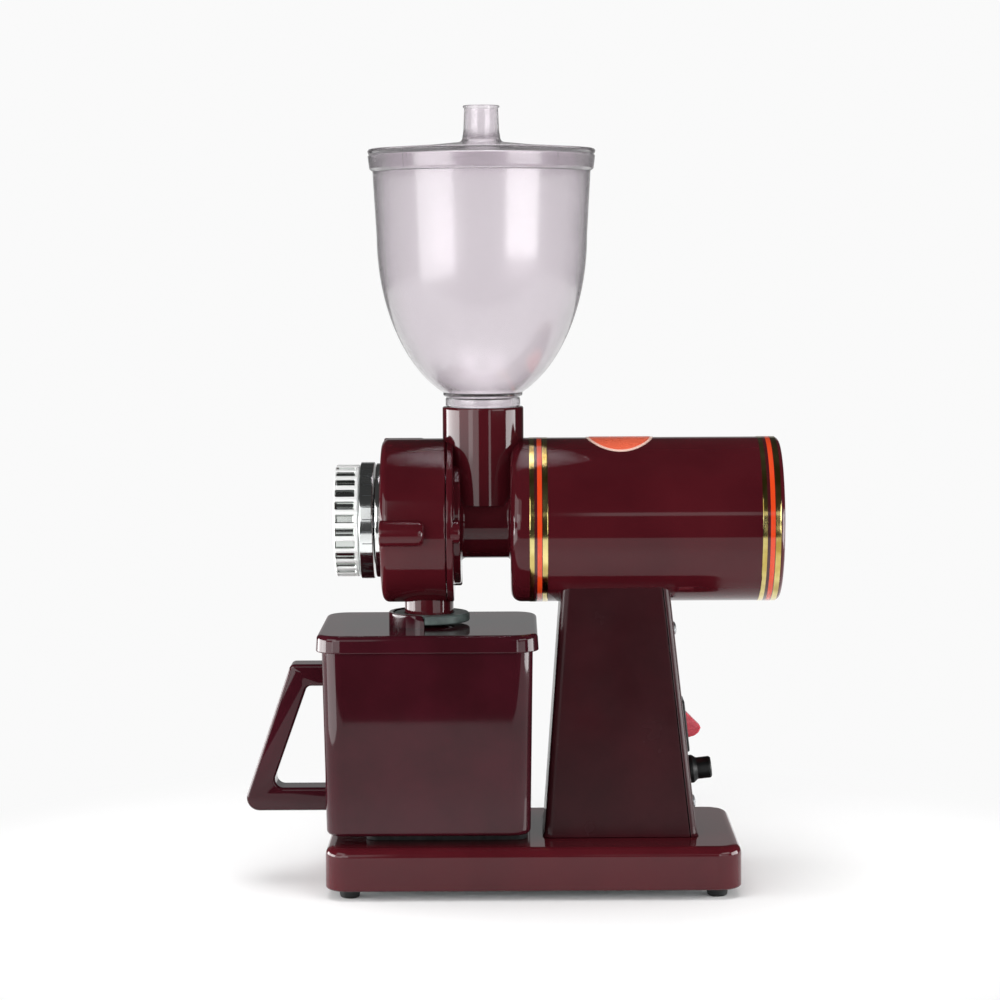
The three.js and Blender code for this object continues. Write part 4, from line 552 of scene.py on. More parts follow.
def striped_tape(name, start, stripes):
    """Foil tape round the motor. Stripe k covers its width along the shaft; the gold wanders between its
    painted shade and its painted light, a darker and a pale gold, over features of 14 mm."""
    coat = {"Specular IOR Level": 0.5, "Coat Weight": 0.5, "Coat Roughness": 0.08}
    material, tree, shader, place = finish(name, coat)
    if tree:
        look = bpy.context.scene.grinder_finish
        along = add(tree, "SeparateXYZ", {"Vector": place}).outputs["X"]
        width = sum(size for size, _ in stripes)
        share = between(tree, along, 0, 1, start * MM, (start + width) * MM)
        # Painted light and shade: the foil's colour is patches of its shaded gold and its lit gold.
        foil = two_tone(tree, noise(tree, place, 14, 2), look.gold_in_shade, look.gold_in_light, 0.36, 0.62)
        enamel, orange = linear(look.enamel_dark), linear(look.orange)
        white, black = [1, 1, 1, 1], [0, 0, 0, 1]
        paint = striped(tree, share, stripes, {"gold": enamel, "enamel": enamel, "orange": orange})
        gold = striped(tree, share, stripes, {"gold": white, "enamel": black, "orange": black})
        mix = add(tree, "Mix", {0: gold, 6: paint, 7: foil}, data_type="RGBA")
        tree.links.new(mix.outputs[2], shader.inputs["Base Color"])
        tree.links.new(gold, shader.inputs["Metallic"])
        worn_roughness(tree, shader, place, 0.1, 0.16, 5)
    return material


def badge_enamel(name, colour):
    """Printed and lacquered badge foil."""
    return plain(name, {"Coat Weight": 0.5, "Coat Roughness": 0.06}, (colour, colour), 5, (0.25, 0.35), 6,
        (3, 0.01, 0.3))


# Settings


SHORTEST_MM, LONGEST_MM = 0.1, 500


def hex_colour(name, description, default):
    """A setting that holds a colour as sRGB hex."""
    return bpy.props.StringProperty(name=name, description=description, default=default)


def length(name, description, default_mm):
    """A setting that holds a length, given in millimetres."""
    return bpy.props.FloatProperty(name=name, description=description, default=default_mm * MM,
        min=SHORTEST_MM * MM, max=LONGEST_MM * MM, unit="LENGTH", precision=5)


class GrinderFinish(bpy.types.PropertyGroup):
    enamel_dark: hex_colour("Enamel, dark", "Darker hex colour of the enamel", "#3f0e15")
    enamel_light: hex_colour("Enamel, light", "Lighter hex colour of the enamel", "#481219")
    plastic_dark: hex_colour("Box, dark", "Darker hex colour of the powder box", "#300c13")
    plastic_light: hex_colour("Box, light", "Lighter hex colour of the powder box", "#390f18")
    coat_dark: hex_colour("Column, dark", "Darker hex colour of the column's powder coat", "#2b0f13")
    coat_light: hex_colour("Column, light", "Lighter hex colour of the column's powder coat", "#341217")
    clear_colour: hex_colour("Hopper tint", "Hex colour of the clear plastic", "#f2edf1")
    orange: hex_colour("Orange stripe", "Hex colour of the middle stripe of the tapes", "#d9431a")
    gold_in_shade: hex_colour("Gold, dark", "Hex colour of the gold foil in shade", "#b39a45")
    gold_in_light: hex_colour("Gold, light", "Hex colour of the gold foil in light", "#ecdc92")
    badge: hex_colour("Badge", "Hex colour of the oval badge", "#f06a4a")
    badge_border: hex_colour("Badge border", "Hex colour of the badge's border", "#f5cfc0")


class GrinderHead(bpy.types.PropertyGroup):
    motor_radius: length("Motor radius", "Radius of the motor's shell", MOTOR_RADIUS)
    chamber_radius: length("Chamber radius", "Radius of the grinding chamber's cover", 38.1)
    inlet_radius: length("Inlet radius", "Outer radius of the inlet tube", 18.8)
    neck_radius: length("Neck radius", "Radius of the neck between chamber and motor", 17.8)
    dial_radius: length("Dial radius", "Outer radius of the ribbed dial", 26)
    dial_ribs: bpy.props.IntProperty(name="Dial ribs", description="Number of ribs on the dial", default=26,
        min=8)
    tape_width: length("Tape width", "Width of each striped tape", 8.3)


class GrinderStand(bpy.types.PropertyGroup):
    base_corner: length("Base corner", "Corner radius of the base plate seen from above", 11)
    base_edge: length("Base edge", "Radius of the base plate's top edge", 4.2)
    column_edge: length("Column edge", "Radius of the column's upright edges", 4)


class GrinderHopper(bpy.types.PropertyGroup):
    wall: length("Wall", "Thickness of the clear wall", 2.2)
    bowl_radius: length("Bowl radius", "Widest radius of the round part of the bowl", LID_RADIUS - 4)
    mouth_radius: length("Mouth radius", "Radius of the bowl just under its rim", LID_RADIUS - 2.3)


class GrinderBox(bpy.types.PropertyGroup):
    corner: length("Box corner", "Corner radius of the powder box seen from above", 9)
    wall: length("Wall", "Thickness of the powder box's wall", 2.6)
    handle_edge: length("Handle edge", "Radius of the handle's edges", 1.4)


class GrinderStage(bpy.types.PropertyGroup):
    floor_colour: hex_colour("Floor", "Hex colour of the table", "#f4f4f4")
    backdrop_gloss: bpy.props.FloatProperty(name="Backdrop in reflections",
        description="How bright glossy surfaces see the backdrop", default=0.34, min=0)
    table_front: bpy.props.FloatProperty(name="Table edge",
        description="How far the table reaches towards the camera", default=0.46, unit="LENGTH")
    brightness: bpy.props.FloatProperty(name="Brightness",
        description="Factor on the power of every softbox", default=1.0, min=0)


# Stand


def base_shells(look):
    """The tray of the base plate: under its top, down its inner wall, round its lower edge and up
    and over its outer edge, as stacked outlines."""
    low, high = BASE_LOW, BASE_HIGH
    corner, edge = look.base_corner / MM, look.base_edge / MM
    depth = high[1] - low[1]
    wall, inward = 3.5, 95
    inset = soften([(inward, high[2] - wall), (wall, high[2] - wall), (wall, low[2]), (0, low[2]),
        (0, high[2]), (inward, high[2])], [0, 2, 0.8, 1.2, edge, 0], 8)
    reach = depth / 2 - 0.5
    levels = [(low[0] + min(i, reach), high[0] - min(i, reach), depth - 2 * min(i, reach),
        max(corner - i, 0.4), z) for i, z in inset]
    return [shell(boxed(levels))]


def foot_shell(node):
    """A rubber foot: a low cone with a rounded tread, turned about its own upright axis."""
    low, high = span(node)
    radius = (high[0] - low[0]) / 2
    profile = soften([(low[2], 0), (low[2], radius * 0.88), (4.1, radius), (4.1, 2.6), (high[2], 2.6),
        (high[2], 0)], [0, 1.0, 0.8, 0.2, 0.3, 0], 5)
    return shell(turned(profile, "z", ((low[0] + high[0]) / 2, (low[1] + high[1]) / 2), 48))


class GRINDER_OT_base(bpy.types.Operator):
    """Makes the base plate, its rubber feet and the rest pad of the powder box"""

    bl_idname = "grinder.base"
    bl_label = "Base plate and feet"

    def execute(self, context):
        look = context.scene.grinder_stand
        piece("base_plate_skin", base_shells(look), maroon_enamel(), "machine", ["base_plate"])
        for i in range(4):
            node = f"rubber_foot_{i + 1}"
            piece(f"foot_{i + 1}", [foot_shell(node)], black_rubber(), "machine", [node])
        low, high = span("box_rest_pad")
        inset = soften([(low[2], 29), (low[2], 0), (high[2], 0), (high[2], 29)], [0, 0.4, 1.0, 0], 4)
        levels = [(low[0] + i, high[0] - i, high[1] - low[1] - 2 * i, max(5 - i, 0.4), z) for z, i in inset]
        piece("rest_pad", [shell(boxed(levels))], black_rubber(), "machine", ["box_rest_pad"])
        return {"FINISHED"}


COLUMN_FOOT_START = AXIS_X + 27.4
COLUMN_TOP_START = AXIS_X + 35.9
PANEL_FOOT = (COLUMN_FOOT_START + 70.8, 24.5)
# The column reaches 9 mm into the motor's underside
PANEL_TOP = (COLUMN_TOP_START + 49.6, SHAFT_Z - MOTOR_RADIUS + 9)
PANEL_TILT = math.atan2(PANEL_FOOT[0] - PANEL_TOP[0], PANEL_TOP[1] - PANEL_FOOT[1])
PANEL_THICKNESS = 3.2
PANEL_SCREW_HEIGHTS = (118, 36)


def on_panel(points):
    """Points given outwards from the column's back and up along it, placed on its slope:
    x = foot + o cos t - u sin t and z = foot + o sin t + u cos t."""
    points = np.array(points, float)
    out, up = points[..., 0].copy(), points[..., 2].copy()
    points[..., 0] = PANEL_FOOT[0] + out * math.cos(PANEL_TILT) - up * math.sin(PANEL_TILT)
    points[..., 2] = PANEL_FOOT[1] + out * math.sin(PANEL_TILT) + up * math.cos(PANEL_TILT)
    return points


def up_panel(height):
    """Distance up the column's sloped back at a height above the ground."""
    return (height - PANEL_FOOT[1]) / math.cos(PANEL_TILT)


def column_levels(look):
    """Start, end, depth, height and rear face of the column's outlines, straight between foot and top,
    with a small fillet where it meets the base."""
    foot = np.array([COLUMN_FOOT_START, PANEL_FOOT[0], 52.0])
    top = np.array([COLUMN_TOP_START, PANEL_TOP[0], 48.0])
    z_low, z_high = PANEL_FOOT[1], PANEL_TOP[1]
    share = np.concatenate([np.linspace(0, 1, 7) ** 1.5 * 1.6 / (z_high - z_low), np.linspace(0.04, 1, 12)])
    z = z_low + share * (z_high - z_low)
    flare = 0.7 * np.clip(1 - (z - z_low) / 1.6, 0, 1) ** 2
    size = foot + share[:, None] * (top - foot)
    return size[:, 0] - flare, size[:, 1] + flare, size[:, 2] + 2 * flare, z, size[:, 1]


def column_part(look, keep):
    """The column's outlines with each point held before or behind the sloped plane where the rear
    panel starts: x becomes the smaller, or the larger, of x and the plane's x at that height."""
    start, end, depth, z, rear = column_levels(look)
    edge = look.column_edge / MM
    rows = boxed([(a, b, d, edge, h) for a, b, d, h in zip(start, end, depth, z)])
    split = (rear - PANEL_THICKNESS / math.cos(PANEL_TILT))[:, None]
    if keep == "front":
        rows[..., 0] = np.minimum(rows[..., 0], split - 0.25)
    else:
        rows[..., 0] = np.maximum(rows[..., 0], split + 0.25)
    return shell(rows)


def cross_head(radius, height, base, steps=24, columns=96):
    """A domed screw head with a cross recess. At distance r from the axis the dome stands
    h(1 - 0.45 (r/R)^3); inside the two slots it sinks by 0.55 h."""
    r = np.concatenate([np.linspace(0, radius * 0.98, steps), [radius]])
    u = np.linspace(0, 2 * math.pi, columns, endpoint=False)
    across, along = np.outer(r, np.cos(u)), np.outer(r, np.sin(u))
    dome = height * (1 - 0.45 * (np.abs(r) / radius) ** 3)[:, None] * np.ones((1, columns))
    arm = radius * 0.62
    width = radius * 0.13
    upright = (np.abs(across) < width) & (np.abs(along) < arm)
    level = (np.abs(along) < width) & (np.abs(across) < arm)
    out = np.where(upright | level, dome - height * 0.55, dome)
    top = np.stack([base + out, across, along], axis=-1)
    foot = np.stack([np.full(columns, base), radius * np.cos(u), radius * np.sin(u)], axis=-1)
    centre = np.stack([np.full(columns, base), 0 * u, 0 * u], axis=-1)
    return np.concatenate([top, foot[None], centre[None]])


class GRINDER_OT_column(bpy.types.Operator):
    """Makes the tapered column, its rear panel and the panel's screws"""

    bl_idname = "grinder.column"
    bl_label = "Column and rear panel"

    def execute(self, context):
        look = context.scene.grinder_stand
        piece("column_skin", [column_part(look, "front")], powder_coat(), "machine", ["column"])
        piece("rear_panel_skin", [column_part(look, "rear")], powder_coat(), "machine",
            ["column_rear_panel"])
        for i, height in enumerate(PANEL_SCREW_HEIGHTS):
            head = cross_head(3.1, 1.8, 0.15)
            head[..., 2] += up_panel(height)
            stem = turned([(-9, 0), (-9, 1.5), (0.2, 1.5), (0.2, 0)], "x", (0, up_panel(height)), 24)
            piece(f"panel_screw_head_{i + 1}", [shell(on_panel(head)), shell(on_panel(stem))], zinc_steel(),
                "machine", [f"panel_screw_{i + 1}"])
        return {"FINISHED"}


SWITCH_UP = up_panel(72.8)
GLAND_UP = up_panel(51.2)
BEZEL_FACE = 1.6
ROCKER_PIVOT = BEZEL_FACE - 2.5


def framed(outer_half, window_half, corner, inner_corner, profile):
    """A rectangular frame round a window. Each profile point holds a share s from outer edge (0) to
    window (1) and a height out of the panel; the outline runs between the two rectangles."""
    outer = plan(-outer_half[1], outer_half[1], 2 * outer_half[0], corner)
    inner = plan(-window_half[1], window_half[1], 2 * window_half[0], inner_corner)
    share = np.asarray([p[0] for p in profile])[:, None, None]
    flat = outer[None] * (1 - share) + inner[None] * share
    out = np.repeat(np.asarray([p[1] for p in profile])[:, None, None], flat.shape[1], axis=1)
    return np.concatenate([out, flat[..., 1:], flat[..., :1]], axis=-1)


class GRINDER_OT_switch(bpy.types.Operator):
    """Makes the rocker switch at the back of the column"""

    bl_idname = "grinder.switch"
    bl_label = "Rocker switch"

    def execute(self, context):
        profile = [(0, 0.1), (0, 0.7), (0.02, 1.1), (0.1, 1.5), (0.22, BEZEL_FACE), (0.8, BEZEL_FACE),
            (0.95, 1.45), (1, 1.1), (1, -9), (0.5, -9), (0.5, 0.1)]
        rim = framed((9, 12.2), (5.25, 7.7), 1.6, 0.5, profile)
        rim[..., 2] += SWITCH_UP
        back = boxed([(-15, -8.8, 14, 0.8, SWITCH_UP - 10.2), (-15, -8.8, 14, 0.8, SWITCH_UP + 10.2)])
        shells = [shell(on_panel(rim), True), shell(on_panel(back))]
        for side in (-1, 1):
            tag_up = SWITCH_UP + side * 6
            tag = boxed([(-21, -14.9, 0.8, 0.3, tag_up + half) for half in (-2.4, 2.4)])
            shells.append(shell(on_panel(tag)))
        piece("switch_bezel", shells, black_abs(), "machine", ["switch_housing"])
        face = BEZEL_FACE - ROCKER_PIVOT
        corners = [(-5.4, -3.2), (0, -6.4), (face, -5.95), (5.7, -5.4), (7.7, -4.1), (8.9, -2.0),
            (face, 6.0), (1.4, 7.0), (-2, 7.0), (-5.4, 3.5)]
        outline = soften(corners, [0.6, 1.5, 2, 4, 3, 0.5, 6, 0.6, 0.6, 0.6], 6, True)
        body = slab(outline, 5, 0.6)
        body[..., 0] += ROCKER_PIVOT
        body[..., 2] += SWITCH_UP
        piece("rocker_cap", [shell(on_panel(body))], red_polyamide(), "rocker", ["switch_rocker"])
        return {"FINISHED"}


class GRINDER_OT_gland(bpy.types.Operator):
    """Makes the cable gland under the switch"""

    bl_idname = "grinder.gland"
    bl_label = "Cable gland"

    def execute(self, context):
        def ribbed(along, angle, away):
            """The cap's grip: r loses 0.4 (1 + cos 14 u) / 2 between its ends."""
            grip = np.clip((along - 4.8) / 0.6, 0, 1) * np.clip((9.9 - along) / 0.6, 0, 1) * (away > 4.5)
            return away - 0.4 * grip * (0.5 + 0.5 * np.cos(14 * angle))

        corners = [(-9, 3.2), (-9, 4.6), (0.3, 4.6), (0.3, 6.6), (2.3, 6.6), (4.3, 5.1), (10.3, 5.1),
            (11, 4.4), (11, 3.2), (8.5, 3.0), (6, 3.0), (-9, 3.0)]
        profile = soften(corners, [0, 0.2, 0, 0.5, 0.8, 0.4, 0.7, 0.4, 0.4, 0.3, 0, 0], 4, True)
        body = turned(profile, "x", (0, GLAND_UP), 140, ribbed)
        plug = turned([(3, 0), (3, 3.0), (7.8, 3.0), (7.8, 0)], "x", (0, GLAND_UP), 32)
        piece("gland_cap", [shell(on_panel(body), True), shell(on_panel(plug))], black_abs(), "machine",
            ["cable_gland"])
        return {"FINISHED"}


# Grinding head


def body_shells(look):
    """The casting: flange, hub, neck and the motor's front bell turned about the shaft, with a well
    under the inlet, and the inlet tube turned about its own upright axis."""
    chamber, neck = look.chamber_radius / MM, look.neck_radius / MM
    motor, tube = look.motor_radius / MM, look.inlet_radius / MM
    bell_end = MOTOR_FACE + 12.8
    coarse = soften([(JOINT_X, 0), (JOINT_X, chamber), (JOINT_X + 3, chamber), (JOINT_X + 3, 29.6),
        (JOINT_X + 6.3, 29.6), (JOINT_X + 6.3, neck), (MOTOR_FACE, neck), (MOTOR_FACE, motor),
        (bell_end, motor), (bell_end, 0)], [0, 0.5, 0.9, 0.8, 0.9, 2.2, 1.6, 5, 0.2, 0], 8)
    fine = []
    for a, b in zip(coarse[:-1], coarse[1:]):
        count = max(1, int(abs(b[0] - a[0]) / 0.8)) if a[1] < neck + 1 and b[1] < neck + 1 else 1
        fine.append(a + (b - a) * np.linspace(0, 1, count, endpoint=False)[:, None])
    profile = np.concatenate(fine + [coarse[-1:]])

    def well(along, angle, away):
        """Inside the inlet's bore the neck's skin sinks to 8 mm from the shaft."""
        from_axis = np.hypot(along - AXIS_X, away * np.cos(angle))
        inside = (from_axis < 11) & (np.sin(angle) > 0) & (away > 12)
        return np.where(inside, 8.0, away)

    spine = turned(profile, "x", (0, SHAFT_Z), 240, well)
    foot = SHAFT_Z + 8
    pipe = soften([(foot, 12), (foot, tube), (INLET_TOP, tube), (INLET_TOP, 16.3), (SHAFT_Z + 24, 16.3),
        (SHAFT_Z + 15, 12)], [0, 0, 0.8, 0.8, 2, 2], 6, True)
    return [shell(spine), shell(turned(pipe, "z", (AXIS_X, 0), 200), True)]


def on_circle(radius, angles):
    """Places across and up from the shaft, on a circle at angles in degrees."""
    return [(radius * math.cos(math.radians(a)), radius * math.sin(math.radians(a))) for a in angles]


SCREW_CIRCLE = 34.6
SCREW_PLACES = on_circle(SCREW_CIRCLE, (184, 304, 56))
# The cover's bosses stand this far outside the screws' circle, the flange's lugs this far inside it
BOSS_OUT = 2.9
LUG_IN = 1.35


def lug_shells():
    """The three lugs behind the flange that take the cover's screws, each turned about its screw."""
    shells = []
    for y, z in SCREW_PLACES:
        share = (SCREW_CIRCLE - LUG_IN) / SCREW_CIRCLE
        profile = soften([(JOINT_X + 2, 0), (JOINT_X + 2, 5.4), (JOINT_X + 6.3, 5.4), (JOINT_X + 6.3, 0)],
            [0, 0, 1, 0])
        shells.append(shell(turned(profile, "x", (y * share, SHAFT_Z + z * share), 48)))
    return shells


class GRINDER_OT_body(bpy.types.Operator):
    """Makes the casting with the inlet tube, the neck and the motor's front bell"""

    bl_idname = "grinder.body"
    bl_label = "Body casting"

    def execute(self, context):
        look = context.scene.grinder_head
        piece("body_casting", body_shells(look) + lug_shells(), maroon_enamel(), "machine", ["grinder_body"])
        return {"FINISHED"}


def cover_shells(look):
    """The cover: a cup turned about the shaft, three screw bosses turned about their screws with a
    rounded end and a sunk seat, and the chute turned about its own upright axis."""
    radius = look.chamber_radius / MM
    front, rear = COVER_FRONT, COVER_REAR
    cup = soften([(front, 8.9), (front, radius), (rear, radius), (rear, radius - 3.2),
        (front + 5, radius - 3.2), (front + 5, 8.9)], [0.4, 3.3, 0.9, 0.4, 2, 0.4], 10, True)
    shells = [shell(turned(cup, "x", (0, SHAFT_Z), 240), True)]
    for y, z in SCREW_PLACES:
        share = (SCREW_CIRCLE + BOSS_OUT) / SCREW_CIRCLE
        end = front + 20.4
        boss = soften([(front, 3.9), (front, 6), (end, 6), (end, 0)], [0.3, 1.0, 4.0, 0], 8)
        seat = [(front + 3.6, 0), (front + 3.6, 3.9)]
        centre = (y * share, SHAFT_Z + z * share)
        shells.append(shell(turned(np.concatenate([seat, boss]), "x", centre, 96)))
    low = COLLAR_LOW[2] + 0.3
    top = SHAFT_Z - 35
    chute = soften([(low, 9.2), (low, 11.4), (top, 11.4), (top, 9.2)], [0.5, 0.8, 0, 0], 5, True)
    shells.append(shell(turned(chute, "z", (CHUTE_X, 0), 128), True))
    return shells


def socket_head(centre, seat):
    """A socket screw: its face sinks by 1.8 mm, 2 mm in the middle, inside a hexagon whose edge lies
    h / cos of the angle to its nearest flat away from the axis."""
    columns = 96
    u = np.linspace(0, 2 * math.pi, columns, endpoint=False)
    hexagon = 1.7 / np.cos((u + math.pi / 6) % (math.pi / 3) - math.pi / 6)
    rings = [(seat, 3.4), (seat - 2.9, 3.5), (seat - 3.2, 3.2)]
    rows = [np.stack([np.full(columns, seat), 0 * u, 0 * u], axis=-1)]
    rows += [np.stack([np.full(columns, x), r * np.cos(u), r * np.sin(u)], axis=-1) for x, r in rings]
    for x, share in ((seat - 3.2, 1.02), (seat - 1.4, 1.0)):
        edge = share * hexagon
        rows.append(np.stack([np.full(columns, x), edge * np.cos(u), edge * np.sin(u)], axis=-1))
    rows.append(np.stack([np.full(columns, seat - 1.2), 0 * u, 0 * u], axis=-1))
    rows = np.array(rows)
    rows[..., 1] += centre[0]
    rows[..., 2] += centre[1]
    return rows


class GRINDER_OT_cover(bpy.types.Operator):
    """Makes the cover of the grinding chamber with its chute and screws"""

    bl_idname = "grinder.cover"
    bl_label = "Chamber cover"

    def execute(self, context):
        look = context.scene.grinder_head
        piece("chamber_cover_skin", cover_shells(look), maroon_enamel(), "machine", ["chamber_cover"])
        for i, (y, z) in enumerate(SCREW_PLACES):
            share = (SCREW_CIRCLE + BOSS_OUT) / SCREW_CIRCLE
            rows = socket_head((y * share, SHAFT_Z + z * share), COVER_FRONT + 3.4)
            piece(f"cover_screw_head_{i + 1}", [shell(rows)], zinc_steel(), "machine",
                [f"cover_screw_{i + 1}"])
        return {"FINISHED"}


UPSTAND_SETBACK = 1.9
UPSTAND_RADIUS = 18.9
COLLAR_RADIUS = 16.6
COLLAR_BORE = 11.7
BOX_LID_TOP = 120.9


class GRINDER_OT_collar(bpy.types.Operator):
    """Makes the grey collar round the chute"""

    bl_idname = "grinder.collar"
    bl_label = "Outlet collar"

    def execute(self, context):
        low, high = COLLAR_LOW[2], COLLAR_HIGH[2]
        wide = math.acos((0.3 - UPSTAND_SETBACK) / UPSTAND_RADIUS)
        back = np.linspace(-wide, wide, 80)
        front = np.linspace(wide, 2 * math.pi - wide, 80)
        u = np.concatenate([back, front])
        outer = np.concatenate([np.full(80, UPSTAND_RADIUS), np.full(80, COLLAR_RADIUS)])
        edge = [(0, low), (0.94, low), (1.0, low + 0.5), (1.0, high - 0.7), (0.9, high), (0.05, high),
            (0, high - 0.3)]
        rows = []
        for share, z in edge:
            r = COLLAR_BORE + (outer - COLLAR_BORE) * share
            rows.append(np.stack([CHUTE_X + r * np.cos(u), r * np.sin(u), np.full(len(u), z)], axis=-1))
        piece("collar_skin", [shell(np.array(rows), True)], grey_silicone(), "machine", ["outlet_collar"])
        return {"FINISHED"}


def knob_rows(look):
    """The ribbed dial: r(u) = R - d f(u), where f is 0 on a rib and rises to 1 in the groove beside
    it, fading out towards the front rim and the rear lip. Each rib falls by up to 0.35 mm to its sides."""
    low, high = span("dial_knob")
    front, rear = low[0], high[0]
    radius = look.dial_radius / MM
    profile = soften([(front + 1.0, 0), (front + 1.0, 20.2), (front, 21.2), (front, radius - 1.0),
        (front + 0.6, radius), (rear - 0.6, radius), (rear, radius - 0.7), (rear, 21), (rear - 8, 21),
        (rear - 8, 0)], [0, 0.3, 0.4, 0.5, 0.8, 0.2, 0.3, 0.3, 0.5, 0], 5)
    extra = np.linspace(front + 0.6, rear - 0.8, 40)[:, None] * [1, 0] + [0, radius]
    order = np.argmax(np.isclose(profile[:, 1], radius, atol=1e-6))
    profile = np.concatenate([profile[: order + 1], extra[1:-1], profile[order + 1:]])

    def ribs(along, angle, away):
        beside = np.abs((angle * look.dial_ribs / (2 * math.pi)) % 1 - 0.5)
        groove = np.clip((beside - 0.24) / 0.08, 0, 1)
        groove = 1 - groove * groove * (3 - 2 * groove)
        crown = 0.35 * np.clip((0.5 - beside) / 0.22, 0, 1) ** 2
        fade = np.clip((along - front - 0.6) / 0.5, 0, 1) * np.clip((rear - 1.6 - along) / 0.5, 0, 1)
        fall = 1.3 * groove * fade + crown * np.clip((along - front) / 1.5, 0, 1)
        return away - fall * (away > radius - 3)

    return turned(profile, "x", (0, SHAFT_Z), look.dial_ribs * 24, ribs)


class GRINDER_OT_dial(bpy.types.Operator):
    """Makes the ribbed dial, its scale ring and the index ring on the cover"""

    bl_idname = "grinder.dial"
    bl_label = "Grind dial"

    def execute(self, context):
        look = context.scene.grinder_head
        piece("ribbed_dial", [shell(knob_rows(look))], fluted_chrome(look.dial_radius), "dial",
            ["dial_knob"])
        low, high = span("dial_scale_ring")
        corners = [(low[0], 20), (low[0], 27.2), (high[0], 27.2), (high[0], 20)]
        ring = soften(corners, [0.2, 0.5, 0.3, 0.2], 5, True)
        piece("scale_ring", [shell(turned(ring, "x", (0, SHAFT_Z), 200), True)], dial_chrome(), "dial",
            ["dial_scale_ring"])
        low, high = span("index_ring")
        corners = [(low[0], 12), (low[0], 26.7), (high[0], 26.7), (high[0], 12)]
        ring = soften(corners, [0.2, 0.5, 0.2, 0.2], 5, True)
        piece("index_ring_skin", [shell(turned(ring, "x", (0, SHAFT_Z), 200), True)], chrome_plate(),
            "machine", ["index_ring"])
        return {"FINISHED"}


# Motor


TAPE_STARTS = {"front": AXIS_X + 21.3, "rear": AXIS_X + 127.1}
BADGE_X = AXIS_X + 63.3
TIE_PLACES = on_circle(31.4, (90, 210, 330))
TIE_HEAD_HEIGHT = 1.5
# The heads stand this far out of the cap's face and end at the end of the motor
TIE_HEAD_STAND = 0.5
CAP_ROUNDING = 4.5


def cap_shell(look):
    """The rear cap. Its face is a grid of angle and distance whose lines double at the edges of the
    air slots, so inside a slot the face sinks straight in by 4 mm."""
    start, end = span("motor_rear_cap")[0][0] + 5.5, MOTOR_END - TIE_HEAD_STAND
    radius = look.motor_radius / MM
    count, inner, outer = 12, 17.0, 26.5
    pitch = 2 * math.pi / count
    half = 1.2 / ((inner + outer) / 2)
    tiny = 1e-4
    base = np.array([-pitch / 2, -pitch / 4, -half - 0.3 * half, -half - tiny, -half, 0, half, half + tiny,
        half * 1.3, pitch / 4])
    u = np.concatenate([base + (k + 0.5) * pitch for k in range(count)])
    rim = soften([(end, radius - 9), (end, radius), (start + 0.4, radius), (start, radius - 0.4)],
        [0, CAP_ROUNDING, 0.3, 0], 10)
    r = np.concatenate([[0, 8, 15], [inner - 0.01, inner, outer, outer + 0.01], rim[:, 1], [0]])
    x = np.concatenate([np.full(7, end), rim[:, 0], [start]])
    in_angle = (np.abs((u % pitch) - pitch / 2) <= half + 1e-9)[None]
    in_reach = ((r >= inner) & (r <= outer) & (x == end) & (np.arange(len(r)) < 7))[:, None]
    depth = np.where(in_angle & in_reach, 4.0, 0.0)
    rows = np.stack([x[:, None] - depth, np.outer(r, np.cos(u)), SHAFT_Z + np.outer(r, np.sin(u))], axis=-1)
    return shell(rows)


class GRINDER_OT_motor(bpy.types.Operator):
    """Makes the motor's shell and rear cap with its screws, the striped tapes and the badge"""

    bl_idname = "grinder.motor"
    bl_label = "Motor"

    def execute(self, context):
        look = context.scene.grinder_head
        radius = look.motor_radius / MM
        low, high = span("motor_shell")
        profile = soften([(low[0], radius - 2.8), (low[0], radius), (high[0], radius),
            (high[0], radius - 2.8)], [0.3, 0.4, 0.4, 0.3], 4, True)
        piece("motor_shell_skin", [shell(turned(profile, "x", (0, SHAFT_Z), 240), True)], maroon_enamel(),
            "machine", ["motor_shell"])
        piece("rear_cap_skin", [cap_shell(look)], maroon_enamel(), "machine", ["motor_rear_cap"])
        for i, (y, z) in enumerate(TIE_PLACES):
            head = cross_head(3.1, TIE_HEAD_HEIGHT, 0)
            head[..., 0] += MOTOR_END - TIE_HEAD_HEIGHT
            head[..., 1] += y
            head[..., 2] += SHAFT_Z + z
            piece(f"tie_rod_head_{i + 1}", [shell(head)], zinc_steel(), "machine", [f"tie_rod_{i + 1}"])
        stripes = [(2.1, "gold"), (1.4, "enamel"), (2.1, "orange"), (0.3, "enamel"), (2.4, "gold")]
        width = look.tape_width / MM
        for side, start in TAPE_STARTS.items():
            band = soften([(start, radius - 0.1), (start, radius + 0.16), (start + width, radius + 0.16),
                (start + width, radius - 0.1)], [0, 0.05, 0.05, 0], 2, True)
            piece(f"striped_tape_{side}", [shell(turned(band, "x", (0, SHAFT_Z), 240), True)],
                striped_tape(f"foil_tape_{side}", start, stripes), "machine")
        colours = context.scene.grinder_finish
        badge = GRINDER_OT_motor.oval(BADGE_X, radius, 15.6, 20.5, 0.0, 0.25)
        piece("badge_border", [badge], badge_enamel("badge_border_foil", colours.badge_border), "machine")
        field = GRINDER_OT_motor.oval(BADGE_X, radius, 14.2, 19.1, 0.2, 0.4)
        piece("badge_field", [field], badge_enamel("badge_field_foil", colours.badge), "machine")
        return {"FINISHED"}

    @staticmethod
    def oval(centre, radius, half_x, half_arc, low, high):
        """A thin oval on top of the motor: x = c + a s cos t, and s b sin t is measured along the arc,
        so the point stands at angle s b sin t / R from the top."""
        t = np.linspace(0, 2 * math.pi, 96, endpoint=False)
        rows = []
        for lift, shares in ((high, np.linspace(0, 1, 16)), (low, np.linspace(1, 0, 16))):
            for share in shares:
                angle = half_arc * share * np.sin(t) / radius
                r = radius + lift
                x = centre + half_x * share * np.cos(t)
                y, z = r * np.sin(angle), SHAFT_Z + r * np.cos(angle)
                rows.append(np.stack([x, y, z], axis=-1))
        return shell(np.array(rows))


# Hopper


